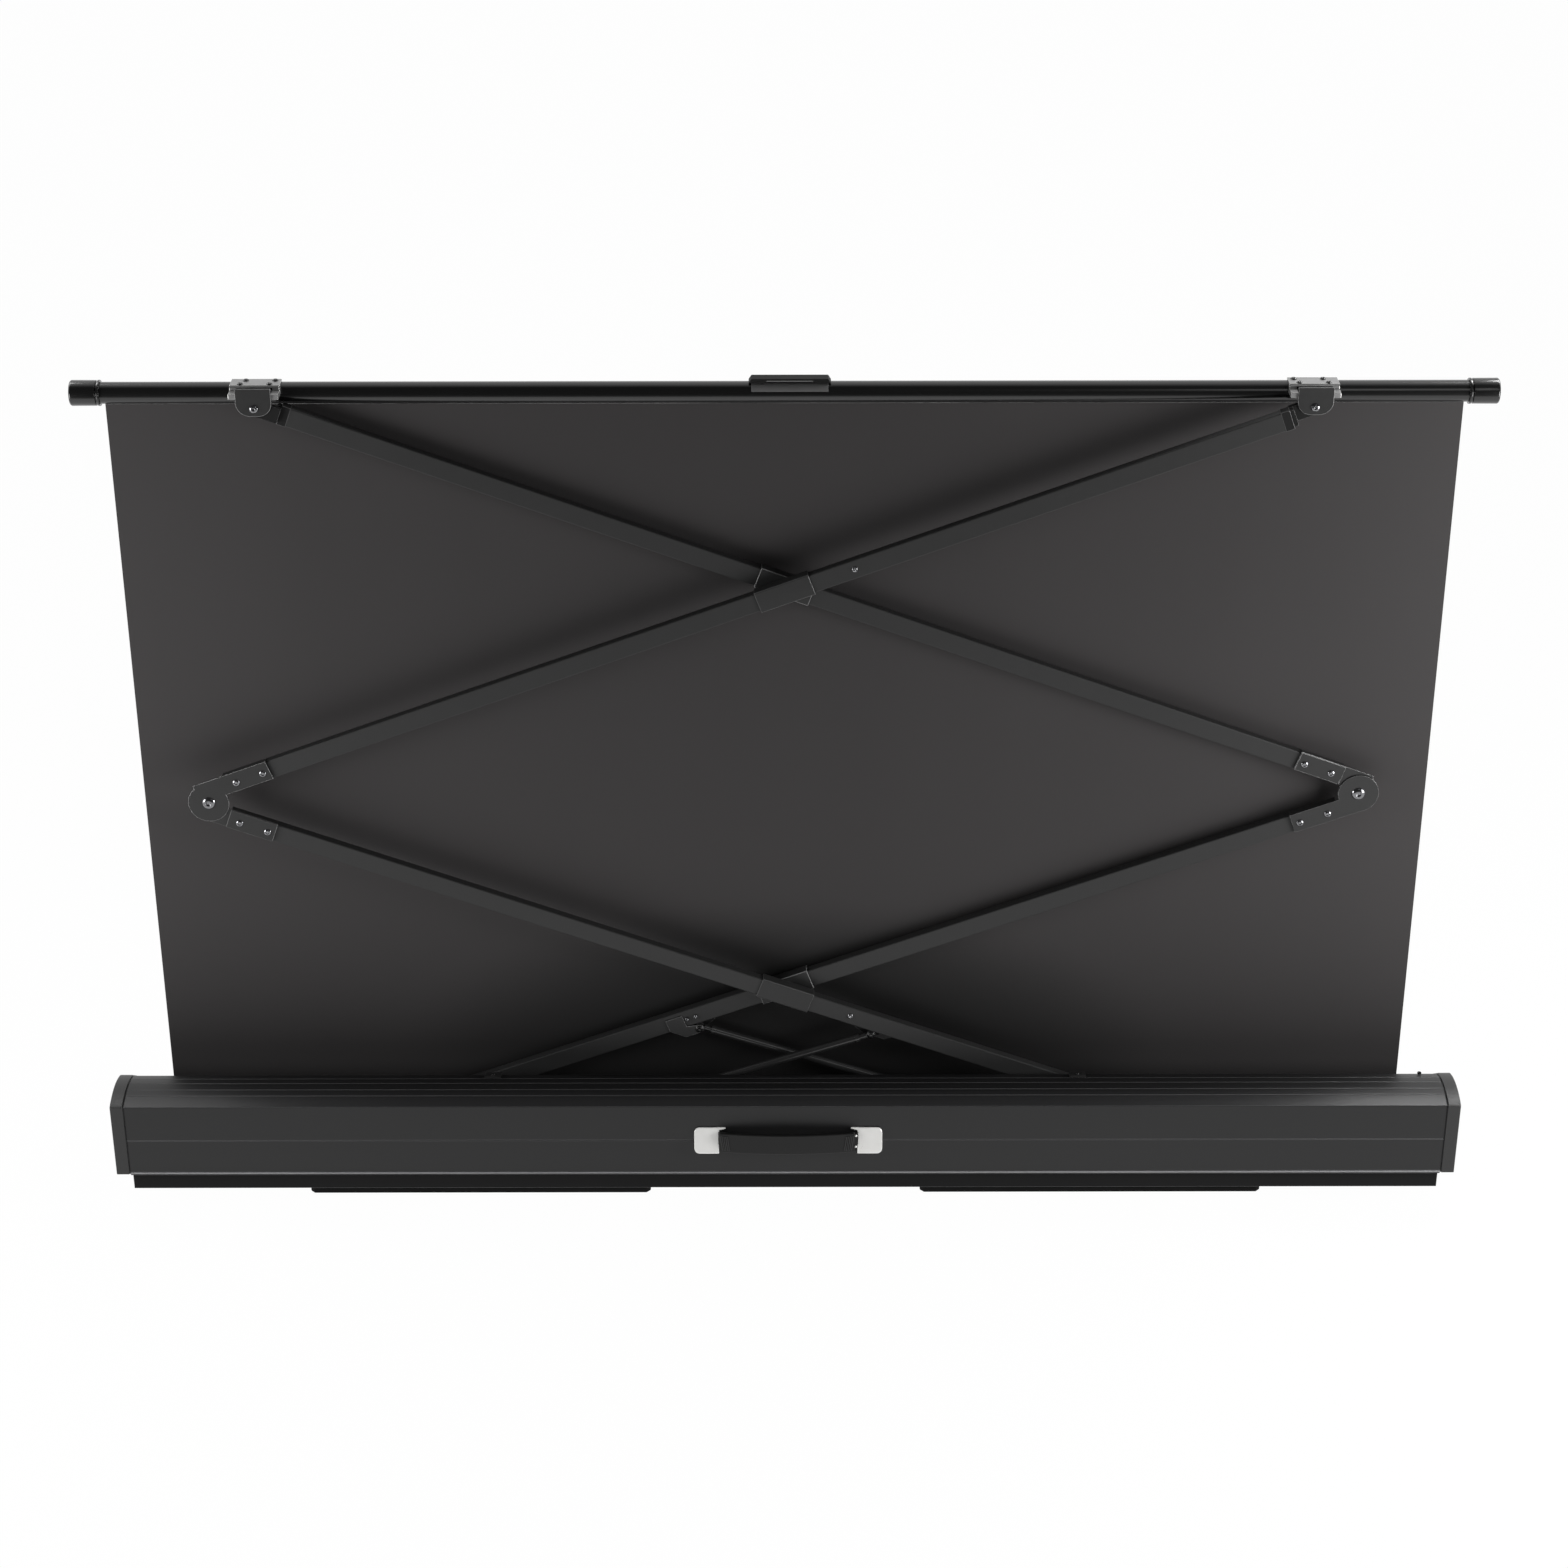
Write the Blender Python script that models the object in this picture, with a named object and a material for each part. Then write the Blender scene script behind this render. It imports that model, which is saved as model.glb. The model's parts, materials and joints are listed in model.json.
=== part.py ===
"""Floor-standing pull-up projection screen, raised on its scissor arms.

Metres, +Z up, the floor at z = 0. The viewing side faces +Y, and the arms and the housing's
carry handle are on the -Y side. The origin is the middle of the footprint of the whole.
"""
import math

import bmesh
import bpy
from mathutils import Vector

# Clearances
GAP = 0.0003
SLIDE_GAP = 0.0004
ROD_GAP = 0.0007

# Overall layout
CLOTH_WIDTH = 1.850
CLOTH_THICKNESS = 0.0006
HOUSING_MARGIN = 0.0675
ARM_RISE = 1.178
PIVOT_FROM_END = 0.2745
SIDE_JOINT_FROM_END = 0.1685
FOLDED_ANGLE = math.radians(1.3)

# Feet and base rail
FOOT_LENGTH = 0.513
FOOT_WIDTH = 0.080
FOOT_THICKNESS = 0.012
FOOT_CORNER = 0.006
FOOT_FROM_END = 0.533
FOOT_BEHIND_CLOTH = 0.052
POST_HEIGHT = 0.023
POST_RADIUS = 0.022
RAIL_SHEET = 0.002
RAIL_HEIGHT = 0.0345
RAIL_INSET = 0.014
RAIL_FLANGE_INSET = 0.0005
RAIL_END_INSET = 0.0205

# Housing section, measured from the plane of the cloth
LIP_BEHIND_CLOTH = 0.058
COVER_DEPTH = 0.086
COVER_WALL = 0.0022
REAR_FACE_HEIGHT = 0.117
LIP_STEP = 0.001
ARCH_RISE = 0.008
LIP_TURN = 0.010
BEAD_HEIGHT = 0.004
BEAD_REACH = 0.0015
GROOVE_WIDTH = 0.0016
GROOVE_DEPTH = 0.0008
ARCH_GROOVE_SHARES = (0.24, 0.40, 0.60, 0.79)
REAR_GROOVE_SHARE = 0.5
SLOT_FRONT = 0.012
SLOT_FRONT_DROP = 0.047
SLOT_FRONT_TURN = 0.008
NOSE_RADIUS = 0.0385

# End caps
CAP_THICKNESS = 0.0195
CAP_OVERHANG = 0.0015

# Spring roller
ROLLER_RADIUS = 0.0265
ROLLER_WALL = 0.0015
ROLLER_MARGIN = 0.010
ROLLER_HEIGHT = 0.0495
PLUG_DEPTH = 0.020
PLUG_COLLAR = 0.005
AXLE_RADIUS = 0.006
AXLE_LENGTH = 0.0225
ROLLER_BRACKET_WALL = 0.0025
ROLLER_BRACKET_HALF = 0.017
ROLLER_BRACKET_FOOT = 0.018
ROLLER_BRACKET_CROWN = 0.012

# Scissor arms
ARM_WIDTH = 0.0276
ARM_DEPTH = 0.014
ARM_WALL = 0.0016
ARM_CORNER = 0.0015
OUTER_LAYER = 0.041
INNER_LAYER = 0.017
PIVOT_OFFSET = 0.016
BASE_PIVOT_RISE = 0.0155
ARM_END_AT_SIDE = 0.034
ARM_END_AT_TOP = 0.035
ARM_END_AT_BASE = 0.022

# Brackets at the side joints
BRACKET_RADIUS = 0.029
BRACKET_REACH = 0.088
BRACKET_OVERSHOOT = 0.010
BRACKET_LOW = 0.0125
BRACKET_HIGH = 0.0162
BRACKET_PLATE = 0.0020
BRACKET_STEP = 0.0003
PAD_START = 0.0335
PAD_INSET = 0.0004
FLANGE_THICKNESS = 0.0014
FLANGE_DEPTH = 0.0090
BOLT_RADIUS = 0.004
BOLT_HEAD_RADIUS = 0.0095
BOLT_HEAD = 0.0027
BOLT_NUT_RADIUS = 0.0085
BOLT_NUT = 0.0042

# Crossing sleeves
SLEEVE_LENGTH = 0.080
SLEEVE_WALL = 0.0020
SLEEVE_CORNER = 0.0025
CROSSING_PIN_RADIUS = 0.012

# Eyes at the arm ends
PLUG_GAP = 0.0004
PLUG_LENGTH = 0.028
EYE_RADIUS = 0.0110
EYE_THICKNESS = 0.010
EYE_BORE = 0.0043
TOP_EYE_THICKNESS = 0.009
CRANK_LENGTH = 0.006

# Base pivot brackets
STUD_RADIUS = 0.0040
CHEEK_WALL = 0.0025
CHEEK_HALF = 0.016
BRACKET_FOOT_HALF = 0.012
BRACKET_FOOT_DEPTH = 0.022
BRACKET_FOOT_THICKNESS = 0.003

# Top bar
TUBE_RADIUS = 0.015
TUBE_WALL = 0.0017
TUBE_MARGIN = 0.006
TUBE_ABOVE_PIVOT = 0.0094
TUBE_BEFORE_CLOTH = 0.0055
END_CAP_RADIUS = 0.0172
END_CAP_LENGTH = 0.041
END_CAP_CHAMFER = 0.004
END_CAP_PLUG = 0.018

# Top brackets and their ears
TOP_BRACKET_LENGTH = 0.068
TOP_PLATE_FRONT = 0.0065
TOP_PLATE_REAR = 0.0215
TOP_PLATE_THICKNESS = 0.0022
TOP_PLATE_CURL = 0.0026
WEB_TOP_SHARE = 0.7
WEB_BOTTOM_SHARE = 0.2
SADDLE_START = math.radians(65)
EAR_HALF_WIDTH = 0.0243
EAR_WALL = 0.0025
EAR_BELOW_PIVOT = 0.0107
EAR_ABOVE_PIVOT = 0.0285
EAR_CORNER = 0.013
EAR_BEHIND_CLOTH = 0.034
TOP_PIN_RADIUS = 0.0040
TOP_PIN_HEAD_RADIUS = 0.0058
TOP_PIN_HEAD = 0.0024

# Pull handle on the top bar
PULL_HALF_LENGTH = 0.0563
PULL_OFF_MIDDLE = 0.0072
PULL_HALF_WIDTH = 0.009
PULL_STRIP = 0.003
PULL_RISE = 0.0062
PULL_FOOT = 0.022
PULL_END_STEP = 0.004

# Gas struts
STRUT_BEFORE_CROSSING = 0.0965
STRUT_OFFSET = 0.0218
STRUT_RADIUS = 0.0062
STRUT_COLLAR_RADIUS = 0.0070
STRUT_COLLAR_START = 0.018
STRUT_COLLAR_END = 0.024
STRUT_NECK_RADIUS = 0.0048
STRUT_TUBE_END = 0.360
STRUT_BORE_START = 0.215
STRUT_BORE_RADIUS = 0.0042
ROD_RADIUS = STRUT_BORE_RADIUS - ROD_GAP
ROD_START = 0.300
STRUT_EYE_RADIUS = 0.0065
STRUT_EYE_THICKNESS = 0.006
STRUT_EYE_BORE = 0.0033
STRUT_EYE_NECK = 0.0030
STRUT_EYE_REACH = 0.013
STRUT_FERRULE_END = 0.017
STRUT_SPACER_RADIUS = 0.0045
STRUT_STUD_RADIUS = 0.0030
ANCHOR_FROM_PIVOT = 0.250
ANCHOR_RISE = 0.0105
CLEVIS_WALL = 0.0020
CLEVIS_START = 0.043
CLEVIS_END = 0.017
CLEVIS_HIGH = 0.0075
CLEVIS_LOW = 0.0115

# Carry handle
HANDLE_OFF_MIDDLE = 0.0043
HANDLE_CAP_INNER = 0.1020
HANDLE_CAP_OUTER = 0.1385
HANDLE_CAP_DEPTH = 0.0145
HANDLE_CAP_LOW = 0.044
HANDLE_CAP_HEIGHT = 0.0375
HANDLE_CAP_CORNER = 0.008
GRIP_LOW = 0.0451
GRIP_HEIGHT = 0.0327
GRIP_THICKNESS = 0.006
GRIP_STAND_OFF = 0.0065
GRIP_BOW = 0.007
GRIP_STEPS = 16

# Guide blocks and the stop nub on the slot's lip
GUIDE_FROM_PIVOT = 0.283
GUIDE_LENGTH = 0.024
GUIDE_DEPTH = 0.018
GUIDE_THICKNESS = 0.003
GUIDE_HOOK = 0.006
NUB_FROM_END = 0.0475
NUB_RADIUS = 0.003
NUB_HEIGHT = 0.0028
NUB_INSET = 0.005

# Facets of round pieces
ROUND = 32
SMALL_ROUND = 20
CORNER_STEPS = 4
ARCH_STEPS = 14


HOUSING_LENGTH = CLOTH_WIDTH + 2 * HOUSING_MARGIN
ROLLER_LENGTH = CLOTH_WIDTH + 2 * ROLLER_MARGIN
TUBE_LENGTH = CLOTH_WIDTH + 2 * TUBE_MARGIN
PIVOT_HALF_SPAN = HOUSING_LENGTH / 2 - PIVOT_FROM_END
SIDE_JOINT_HALF_SPAN = HOUSING_LENGTH / 2 - SIDE_JOINT_FROM_END
FOOT_HALF_SPAN = HOUSING_LENGTH / 2 - FOOT_FROM_END
STRUT_STATION = PIVOT_HALF_SPAN - STRUT_BEFORE_CROSSING
ANCHOR_HALF_SPAN = PIVOT_HALF_SPAN - ANCHOR_FROM_PIVOT
GUIDE_HALF_SPAN = PIVOT_HALF_SPAN - GUIDE_FROM_PIVOT
NUB_PLACE = HOUSING_LENGTH / 2 - NUB_FROM_END


def solve_arm_angle():
    """Angle of the raised arms, whose side pivots sit off their centre lines."""
    rise = ARM_RISE / 2
    span = PIVOT_HALF_SPAN + SIDE_JOINT_HALF_SPAN
    return math.acos(PIVOT_OFFSET / math.hypot(rise, span)) - math.atan2(span, rise)


ARM_ANGLE = solve_arm_angle()
COS_ARM = math.cos(ARM_ANGLE)
SIN_ARM = math.sin(ARM_ANGLE)
ARM_LENGTH = (PIVOT_HALF_SPAN + SIDE_JOINT_HALF_SPAN + PIVOT_OFFSET * SIN_ARM) / COS_ARM
CROSSING_STATION = PIVOT_HALF_SPAN / COS_ARM

RAIL_BOTTOM = FOOT_THICKNESS + POST_HEIGHT
RAIL_FLOOR = RAIL_BOTTOM + RAIL_SHEET
COVER_BOTTOM = RAIL_BOTTOM + RAIL_HEIGHT
COVER_EDGE = COVER_BOTTOM + REAR_FACE_HEIGHT
LIP_HEIGHT = COVER_EDGE + LIP_STEP
SLOT_FRONT_HEIGHT = LIP_HEIGHT - SLOT_FRONT_DROP
ROLLER_AXIS_HEIGHT = RAIL_BOTTOM + ROLLER_HEIGHT
ROLLER_AXIS_DEPTH = ROLLER_RADIUS + GAP
BASE_PIVOT_HEIGHT = RAIL_FLOOR + BASE_PIVOT_RISE
SIDE_PIVOT_HEIGHT = BASE_PIVOT_HEIGHT + ARM_RISE / 2
TOP_PIVOT_HEIGHT = BASE_PIVOT_HEIGHT + ARM_RISE
TUBE_HEIGHT = TOP_PIVOT_HEIGHT + TUBE_ABOVE_PIVOT

REAR_FACE = LIP_BEHIND_CLOTH + COVER_DEPTH
REAR_REACH = REAR_FACE + GRIP_STAND_OFF + GRIP_THICKNESS + GRIP_BOW
NOSE_FRONT = ROLLER_AXIS_DEPTH + NOSE_RADIUS
FRONT_REACH = NOSE_FRONT + CAP_OVERHANG
CLOTH_Y = (REAR_REACH - FRONT_REACH) / 2
COVER_HALF = HOUSING_LENGTH / 2 - CAP_THICKNESS

OUTER = -1
INNER = 1
LAYER_DEPTH = {OUTER: OUTER_LAYER, INNER: INNER_LAYER}
LAYER_NAME = {OUTER: "outer", INNER: "inner"}
SIDE_NAME = {-1: "left", 1: "right"}


def clear_scene():
    """Remove whatever the scene holds."""
    for item in list(bpy.data.objects):
        bpy.data.objects.remove(item, do_unlink=True)


def make_material(name, colour, roughness, metallic):
    """Principled material of one finish."""
    material = bpy.data.materials.new(name)
    material.use_nodes = True
    shader = material.node_tree.nodes["Principled BSDF"]
    shader.inputs["Base Color"].default_value = (*colour, 1.0)
    shader.inputs["Roughness"].default_value = roughness
    shader.inputs["Metallic"].default_value = metallic
    return material


def finish(name, bm, origin, look):
    """Turn a bmesh in world coordinates into an object whose origin is a given point."""
    bmesh.ops.recalc_face_normals(bm, faces=bm.faces)
    bmesh.ops.translate(bm, verts=bm.verts, vec=-Vector(origin))
    mesh = bpy.data.meshes.new(name)
    bm.to_mesh(mesh)
    bm.free()
    material = make_material(name + "_finish", *look)
    mesh.materials.append(material)
    mesh.shade_smooth()
    mesh.set_sharp_from_angle(angle=math.radians(35))
    item = bpy.data.objects.new(name, mesh)
    item.location = origin
    bpy.context.scene.collection.objects.link(item)
    return item


def ring_of(bm, points, place, depth):
    """Closed loop of vertices and its edges at one depth."""
    verts = [bm.verts.new(place(a, b, depth)) for a, b in points]
    edges = [bm.edges.new((verts[i - 1], verts[i])) for i in range(len(verts))]
    return verts, edges


def wall_between(bm, first, second):
    """Side faces between two like loops."""
    for i in range(len(first)):
        bm.faces.new((first[i - 1], first[i], second[i], second[i - 1]))


def layered(name, layers, place, origin, look, bore=None, bored=None):
    """Solid of stacked flat layers, each (outline, start, end), with at most one bore.

    Outlines that follow each other lie one inside the other. The bore goes through the one
    layer whose index is given, or through the first layer of a single-layer solid.
    """
    bm = bmesh.new()
    rings = []
    for outline, start, end in layers:
        low = ring_of(bm, outline, place, start)
        high = ring_of(bm, outline, place, end)
        wall_between(bm, low[0], high[0])
        rings.append((low, high))
    faces = [rings[0][0][1]]
    faces += [below[1][1] + above[0][1] for below, above in zip(rings, rings[1:])]
    faces += [rings[-1][1][1]]
    if bore:
        index = bored or 0
        low = ring_of(bm, bore, place, layers[index][1])
        high = ring_of(bm, bore, place, layers[index][2])
        wall_between(bm, low[0], high[0])
        faces[index] = faces[index] + low[1]
        faces[index + 1] = faces[index + 1] + high[1]
    for edges in faces:
        bmesh.ops.triangle_fill(bm, use_beauty=True, edges=edges)
    return finish(name, bm, origin, look)


def turned(name, profile, place, origin, look, steps=ROUND, closed=False):
    """Solid turned about an axis from (station, radius) points; a zero radius is a pole."""
    bm = bmesh.new()
    rings = []
    for station, radius in profile:
        if radius == 0:
            rings.append([bm.verts.new(place(0, 0, station))])
            continue
        turns = [2 * math.pi * i / steps for i in range(steps)]
        rings.append([bm.verts.new(place(radius * math.cos(t), radius * math.sin(t), station)) for t in turns])
    pairs = list(zip(rings, rings[1:]))
    if closed:
        pairs.append((rings[-1], rings[0]))
    for first, second in pairs:
        if len(first) == 1 and len(second) == 1:
            continue
        for i in range(steps):
            if len(first) == 1:
                bm.faces.new((first[0], second[i - 1], second[i]))
            elif len(second) == 1:
                bm.faces.new((first[i - 1], first[i], second[0]))
            else:
                bm.faces.new((first[i - 1], first[i], second[i], second[i - 1]))
    return finish(name, bm, origin, look)


def unite(item, *others):
    """Fuse further closed shapes into one solid and hide them."""
    for other in others:
        other.hide_render = True
        other.display_type = "WIRE"
        union = item.modifiers.new("join_" + other.name, "BOOLEAN")
        union.operation = "UNION"
        union.solver = "EXACT"
        union.object = other
    return item


def rectangle(a_low, a_high, b_low, b_high):
    """Corner points of a rectangle."""
    return [(a_low, b_low), (a_high, b_low), (a_high, b_high), (a_low, b_high)]


def arc(centre, radius, start, end, steps):
    """Points along an arc, both ends included."""
    turns = [start + (end - start) * i / steps for i in range(steps + 1)]
    return [(centre[0] + radius * math.cos(t), centre[1] + radius * math.sin(t)) for t in turns]


def circle(centre, radius, steps=SMALL_ROUND):
    """Points round a circle."""
    return arc(centre, radius, 0, 2 * math.pi * (steps - 1) / steps, steps - 1)


def rounded(a_low, a_high, b_low, b_high, radius, steps=CORNER_STEPS):
    """Rectangle with round corners."""
    quarter = math.pi / 2
    corners = (
        (a_high - radius, b_high - radius, 0),
        (a_low + radius, b_high - radius, quarter),
        (a_low + radius, b_low + radius, 2 * quarter),
        (a_high - radius, b_low + radius, 3 * quarter),
    )
    points = []
    for a, b, start in corners:
        points += arc((a, b), radius, start, start + quarter, steps)
    return points


def along_x(depth_from_cloth, height):
    """Placement of a section in (Y, Z) from a line parallel to X, run out along X."""
    return lambda a, b, d: (d, CLOTH_Y + depth_from_cloth + a, height + b)


def along_y(a, b, d):
    """Placement of an outline in (X, Z), run out along Y from the cloth's plane."""
    return (a, CLOTH_Y + d, b)


def along_z(a, b, d):
    """Placement of an outline in (X, Y from the cloth's plane), run out along Z."""
    return (a, CLOTH_Y + b, d)


def lower_arm_point(side, along, across, depth):
    """Point of a lower arm, from its base pivot; side is that of its outer joint."""
    x = -side * (PIVOT_HALF_SPAN - along * COS_ARM + across * SIN_ARM)
    return (x, CLOTH_Y + depth, BASE_PIVOT_HEIGHT + along * SIN_ARM + across * COS_ARM)


def upper_arm_point(side, along, across, depth):
    """Point of an upper arm, from abreast of its side pivot."""
    x = side * (SIDE_JOINT_HALF_SPAN + (PIVOT_OFFSET + across) * SIN_ARM - along * COS_ARM)
    z = SIDE_PIVOT_HEIGHT + (PIVOT_OFFSET + across) * COS_ARM + along * SIN_ARM
    return (x, CLOTH_Y + depth, z)


def face_on(arm_point, side):
    """Placement of an outline on an arm's broad face."""
    return lambda a, b, d: arm_point(side, a, b, d)


def endwise(arm_point, side):
    """Placement of an arm's cross section, run out along the arm."""
    layer = LAYER_DEPTH[side]
    return lambda a, b, d: arm_point(side, d, a, b - layer)


def base_pivot(side):
    """Joint axis point of a lower arm."""
    return (-side * PIVOT_HALF_SPAN, CLOTH_Y - LAYER_DEPTH[side], BASE_PIVOT_HEIGHT)


def side_pivot(side):
    """Joint axis point between a lower arm and an upper arm."""
    return (side * SIDE_JOINT_HALF_SPAN, CLOTH_Y - LAYER_DEPTH[side], SIDE_PIVOT_HEIGHT)


def top_pivot(side):
    """Joint axis point between an upper arm and the top bar."""
    return (-side * PIVOT_HALF_SPAN, CLOTH_Y - EAR_BEHIND_CLOTH, TOP_PIVOT_HEIGHT)


DARK_METAL = ((0.042, 0.043, 0.043), 0.42, 0.6)
COVER_METAL = ((0.048, 0.046, 0.047), 0.38, 0.5)
RAIL_METAL = ((0.018, 0.018, 0.018), 0.50, 0.4)
BLACK_PLASTIC = ((0.020, 0.020, 0.020), 0.45, 0.0)
CLOTH_BACK = ((0.045, 0.043, 0.044), 0.85, 0.0)
GLOSS_BLACK = ((0.010, 0.010, 0.010), 0.18, 0.3)
BRIGHT_STEEL = ((0.60, 0.60, 0.59), 0.25, 1.0)
CREAM_METAL = ((0.76, 0.74, 0.70), 0.35, 0.3)
SATIN_GREY = ((0.30, 0.30, 0.30), 0.35, 0.8)


def arch_height(share, lowered=0):
    """Height of the cover's arched top at a share of its depth, rear edge to lip."""
    return COVER_EDGE - lowered + LIP_STEP * share + 4 * ARCH_RISE * share * (1 - share)


def arch_points(lowered=0, grooves=True):
    """Arched top from the rear edge to the lip, as (depth from the cloth, height)."""
    half = GROOVE_WIDTH / COVER_DEPTH / 2
    shares = {i / ARCH_STEPS: 0 for i in range(ARCH_STEPS + 1)}
    if grooves:
        for share in ARCH_GROOVE_SHARES:
            shares = {s: cut for s, cut in shares.items() if abs(s - share) > 2 * half}
            shares.update({share - half: 0, share: GROOVE_DEPTH, share + half: 0})
    return [(COVER_DEPTH * s - REAR_FACE, arch_height(s, lowered) - shares[s]) for s in sorted(shares)]


def rear_cover():
    """Rear wall and arched top of the housing, with the lip of the slot."""
    groove = COVER_BOTTOM + REAR_FACE_HEIGHT * REAR_GROOVE_SHARE
    outside = [
        (-REAR_FACE, COVER_BOTTOM),
        (-REAR_FACE - BEAD_REACH, COVER_BOTTOM + BEAD_REACH),
        (-REAR_FACE - BEAD_REACH, COVER_BOTTOM + BEAD_HEIGHT - BEAD_REACH),
        (-REAR_FACE, COVER_BOTTOM + BEAD_HEIGHT),
        (-REAR_FACE, groove - GROOVE_WIDTH / 2),
        (-REAR_FACE + GROOVE_DEPTH, groove),
        (-REAR_FACE, groove + GROOVE_WIDTH / 2),
    ]
    outside += arch_points()
    inside = arch_points(COVER_WALL, grooves=False)
    inside = [(max(a, COVER_WALL - REAR_FACE), b) for a, b in inside if a < -LIP_BEHIND_CLOTH - COVER_WALL]
    lip = [
        (-LIP_BEHIND_CLOTH, LIP_HEIGHT - LIP_TURN),
        (-LIP_BEHIND_CLOTH - COVER_WALL, LIP_HEIGHT - LIP_TURN),
        (-LIP_BEHIND_CLOTH - COVER_WALL, LIP_HEIGHT - COVER_WALL),
    ]
    section = outside + lip + inside[::-1] + [(COVER_WALL - REAR_FACE, COVER_BOTTOM)]
    layers = [(section, -COVER_HALF, COVER_HALF)]
    return layered("rear_cover", layers, along_x(0, 0), (0, CLOTH_Y - REAR_FACE, COVER_BOTTOM), COVER_METAL)


def nose_points(grown):
    """Sloping front top and round nose, from the slot's front edge down to the front wall."""
    centre = (ROLLER_AXIS_DEPTH, ROLLER_AXIS_HEIGHT)
    radius = NOSE_RADIUS + grown
    edge = (SLOT_FRONT, SLOT_FRONT_HEIGHT + grown)
    away = (edge[0] - centre[0], edge[1] - centre[1])
    distance = math.hypot(*away)
    touch = math.atan2(away[1], away[0]) - math.acos(radius / distance)
    return [edge] + arc(centre, radius, touch, 0, ARCH_STEPS)


def front_cover():
    """Front wall, nose and sloping top in front of the slot."""
    outside = nose_points(0)
    inside = nose_points(-COVER_WALL)[1:]
    section = outside + [
        (NOSE_FRONT, COVER_BOTTOM),
        (NOSE_FRONT - COVER_WALL, COVER_BOTTOM),
    ]
    section += inside[::-1]
    section += [
        (SLOT_FRONT + COVER_WALL, SLOT_FRONT_HEIGHT - 2 * COVER_WALL),
        (SLOT_FRONT + COVER_WALL, SLOT_FRONT_HEIGHT - SLOT_FRONT_TURN),
        (SLOT_FRONT, SLOT_FRONT_HEIGHT - SLOT_FRONT_TURN),
    ]
    layers = [(section, -COVER_HALF, COVER_HALF)]
    return layered("front_cover", layers, along_x(0, 0), (0, CLOTH_Y + NOSE_FRONT, COVER_BOTTOM), COVER_METAL)


def base_rail():
    """Hat-shaped channel that closes the housing below and carries every pivot."""
    top = COVER_BOTTOM - GAP
    rear = RAIL_FLANGE_INSET - REAR_FACE
    front = NOSE_FRONT - RAIL_FLANGE_INSET
    section = [
        (rear, top - RAIL_SHEET),
        (RAIL_INSET - REAR_FACE, top - RAIL_SHEET),
        (RAIL_INSET - REAR_FACE, RAIL_BOTTOM),
        (NOSE_FRONT - RAIL_INSET, RAIL_BOTTOM),
        (NOSE_FRONT - RAIL_INSET, top - RAIL_SHEET),
        (front, top - RAIL_SHEET),
        (front, top),
        (NOSE_FRONT - RAIL_INSET - RAIL_SHEET, top),
        (NOSE_FRONT - RAIL_INSET - RAIL_SHEET, RAIL_FLOOR),
        (RAIL_INSET + RAIL_SHEET - REAR_FACE, RAIL_FLOOR),
        (RAIL_INSET + RAIL_SHEET - REAR_FACE, top),
        (rear, top),
    ]
    half = HOUSING_LENGTH / 2 - RAIL_END_INSET
    return layered("base_rail", [(section, -half, half)], along_x(0, 0), (0, CLOTH_Y, RAIL_BOTTOM), RAIL_METAL)


def end_cap(side):
    """Moulded cap that closes one end of the housing."""
    grown = CAP_OVERHANG
    section = [(-REAR_FACE - grown, COVER_BOTTOM)]
    section += [(-REAR_FACE - grown, COVER_EDGE)]
    section += arch_points(-grown, grooves=False)[1:]
    section += nose_points(grown) + [(NOSE_FRONT + grown, COVER_BOTTOM)]
    start = side * (COVER_HALF + GAP)
    end = side * HOUSING_LENGTH / 2
    name = "end_cap_" + SIDE_NAME[side]
    return layered(name, [(section, start, end)], along_x(0, 0), (start, CLOTH_Y, COVER_BOTTOM), BLACK_PLASTIC)


def carry_handle():
    """Two end blocks and a bowed grip on the rear wall."""
    low = COVER_BOTTOM + HANDLE_CAP_LOW
    middle = HANDLE_OFF_MIDDLE
    for side in (-1, 1):
        ends = sorted((middle + side * HANDLE_CAP_INNER, middle + side * HANDLE_CAP_OUTER))
        outline = rounded(*ends, low, low + HANDLE_CAP_HEIGHT, HANDLE_CAP_CORNER)
        back = -REAR_FACE - GAP
        layers = [(outline, back - HANDLE_CAP_DEPTH, back)]
        origin = (middle + side * HANDLE_CAP_OUTER, CLOTH_Y - REAR_FACE, low)
        layered("handle_cap_" + SIDE_NAME[side], layers, along_y, origin, CREAM_METAL)
    half = HANDLE_CAP_INNER - GAP
    stations = [half * (2 * i / GRIP_STEPS - 1) for i in range(GRIP_STEPS + 1)]

    def bowed(x, stand_off):
        return middle + x, -REAR_FACE - stand_off - GRIP_BOW * (1 - (x / half) ** 2)

    outline = [bowed(x, GRIP_STAND_OFF) for x in stations]
    outline += [bowed(x, GRIP_STAND_OFF + GRIP_THICKNESS) for x in reversed(stations)]
    low = COVER_BOTTOM + GRIP_LOW
    layers = [(outline, low, low + GRIP_HEIGHT)]
    origin = (middle, CLOTH_Y - REAR_FACE, low)
    layered("handle_grip", layers, along_z, origin, BLACK_PLASTIC)


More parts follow.
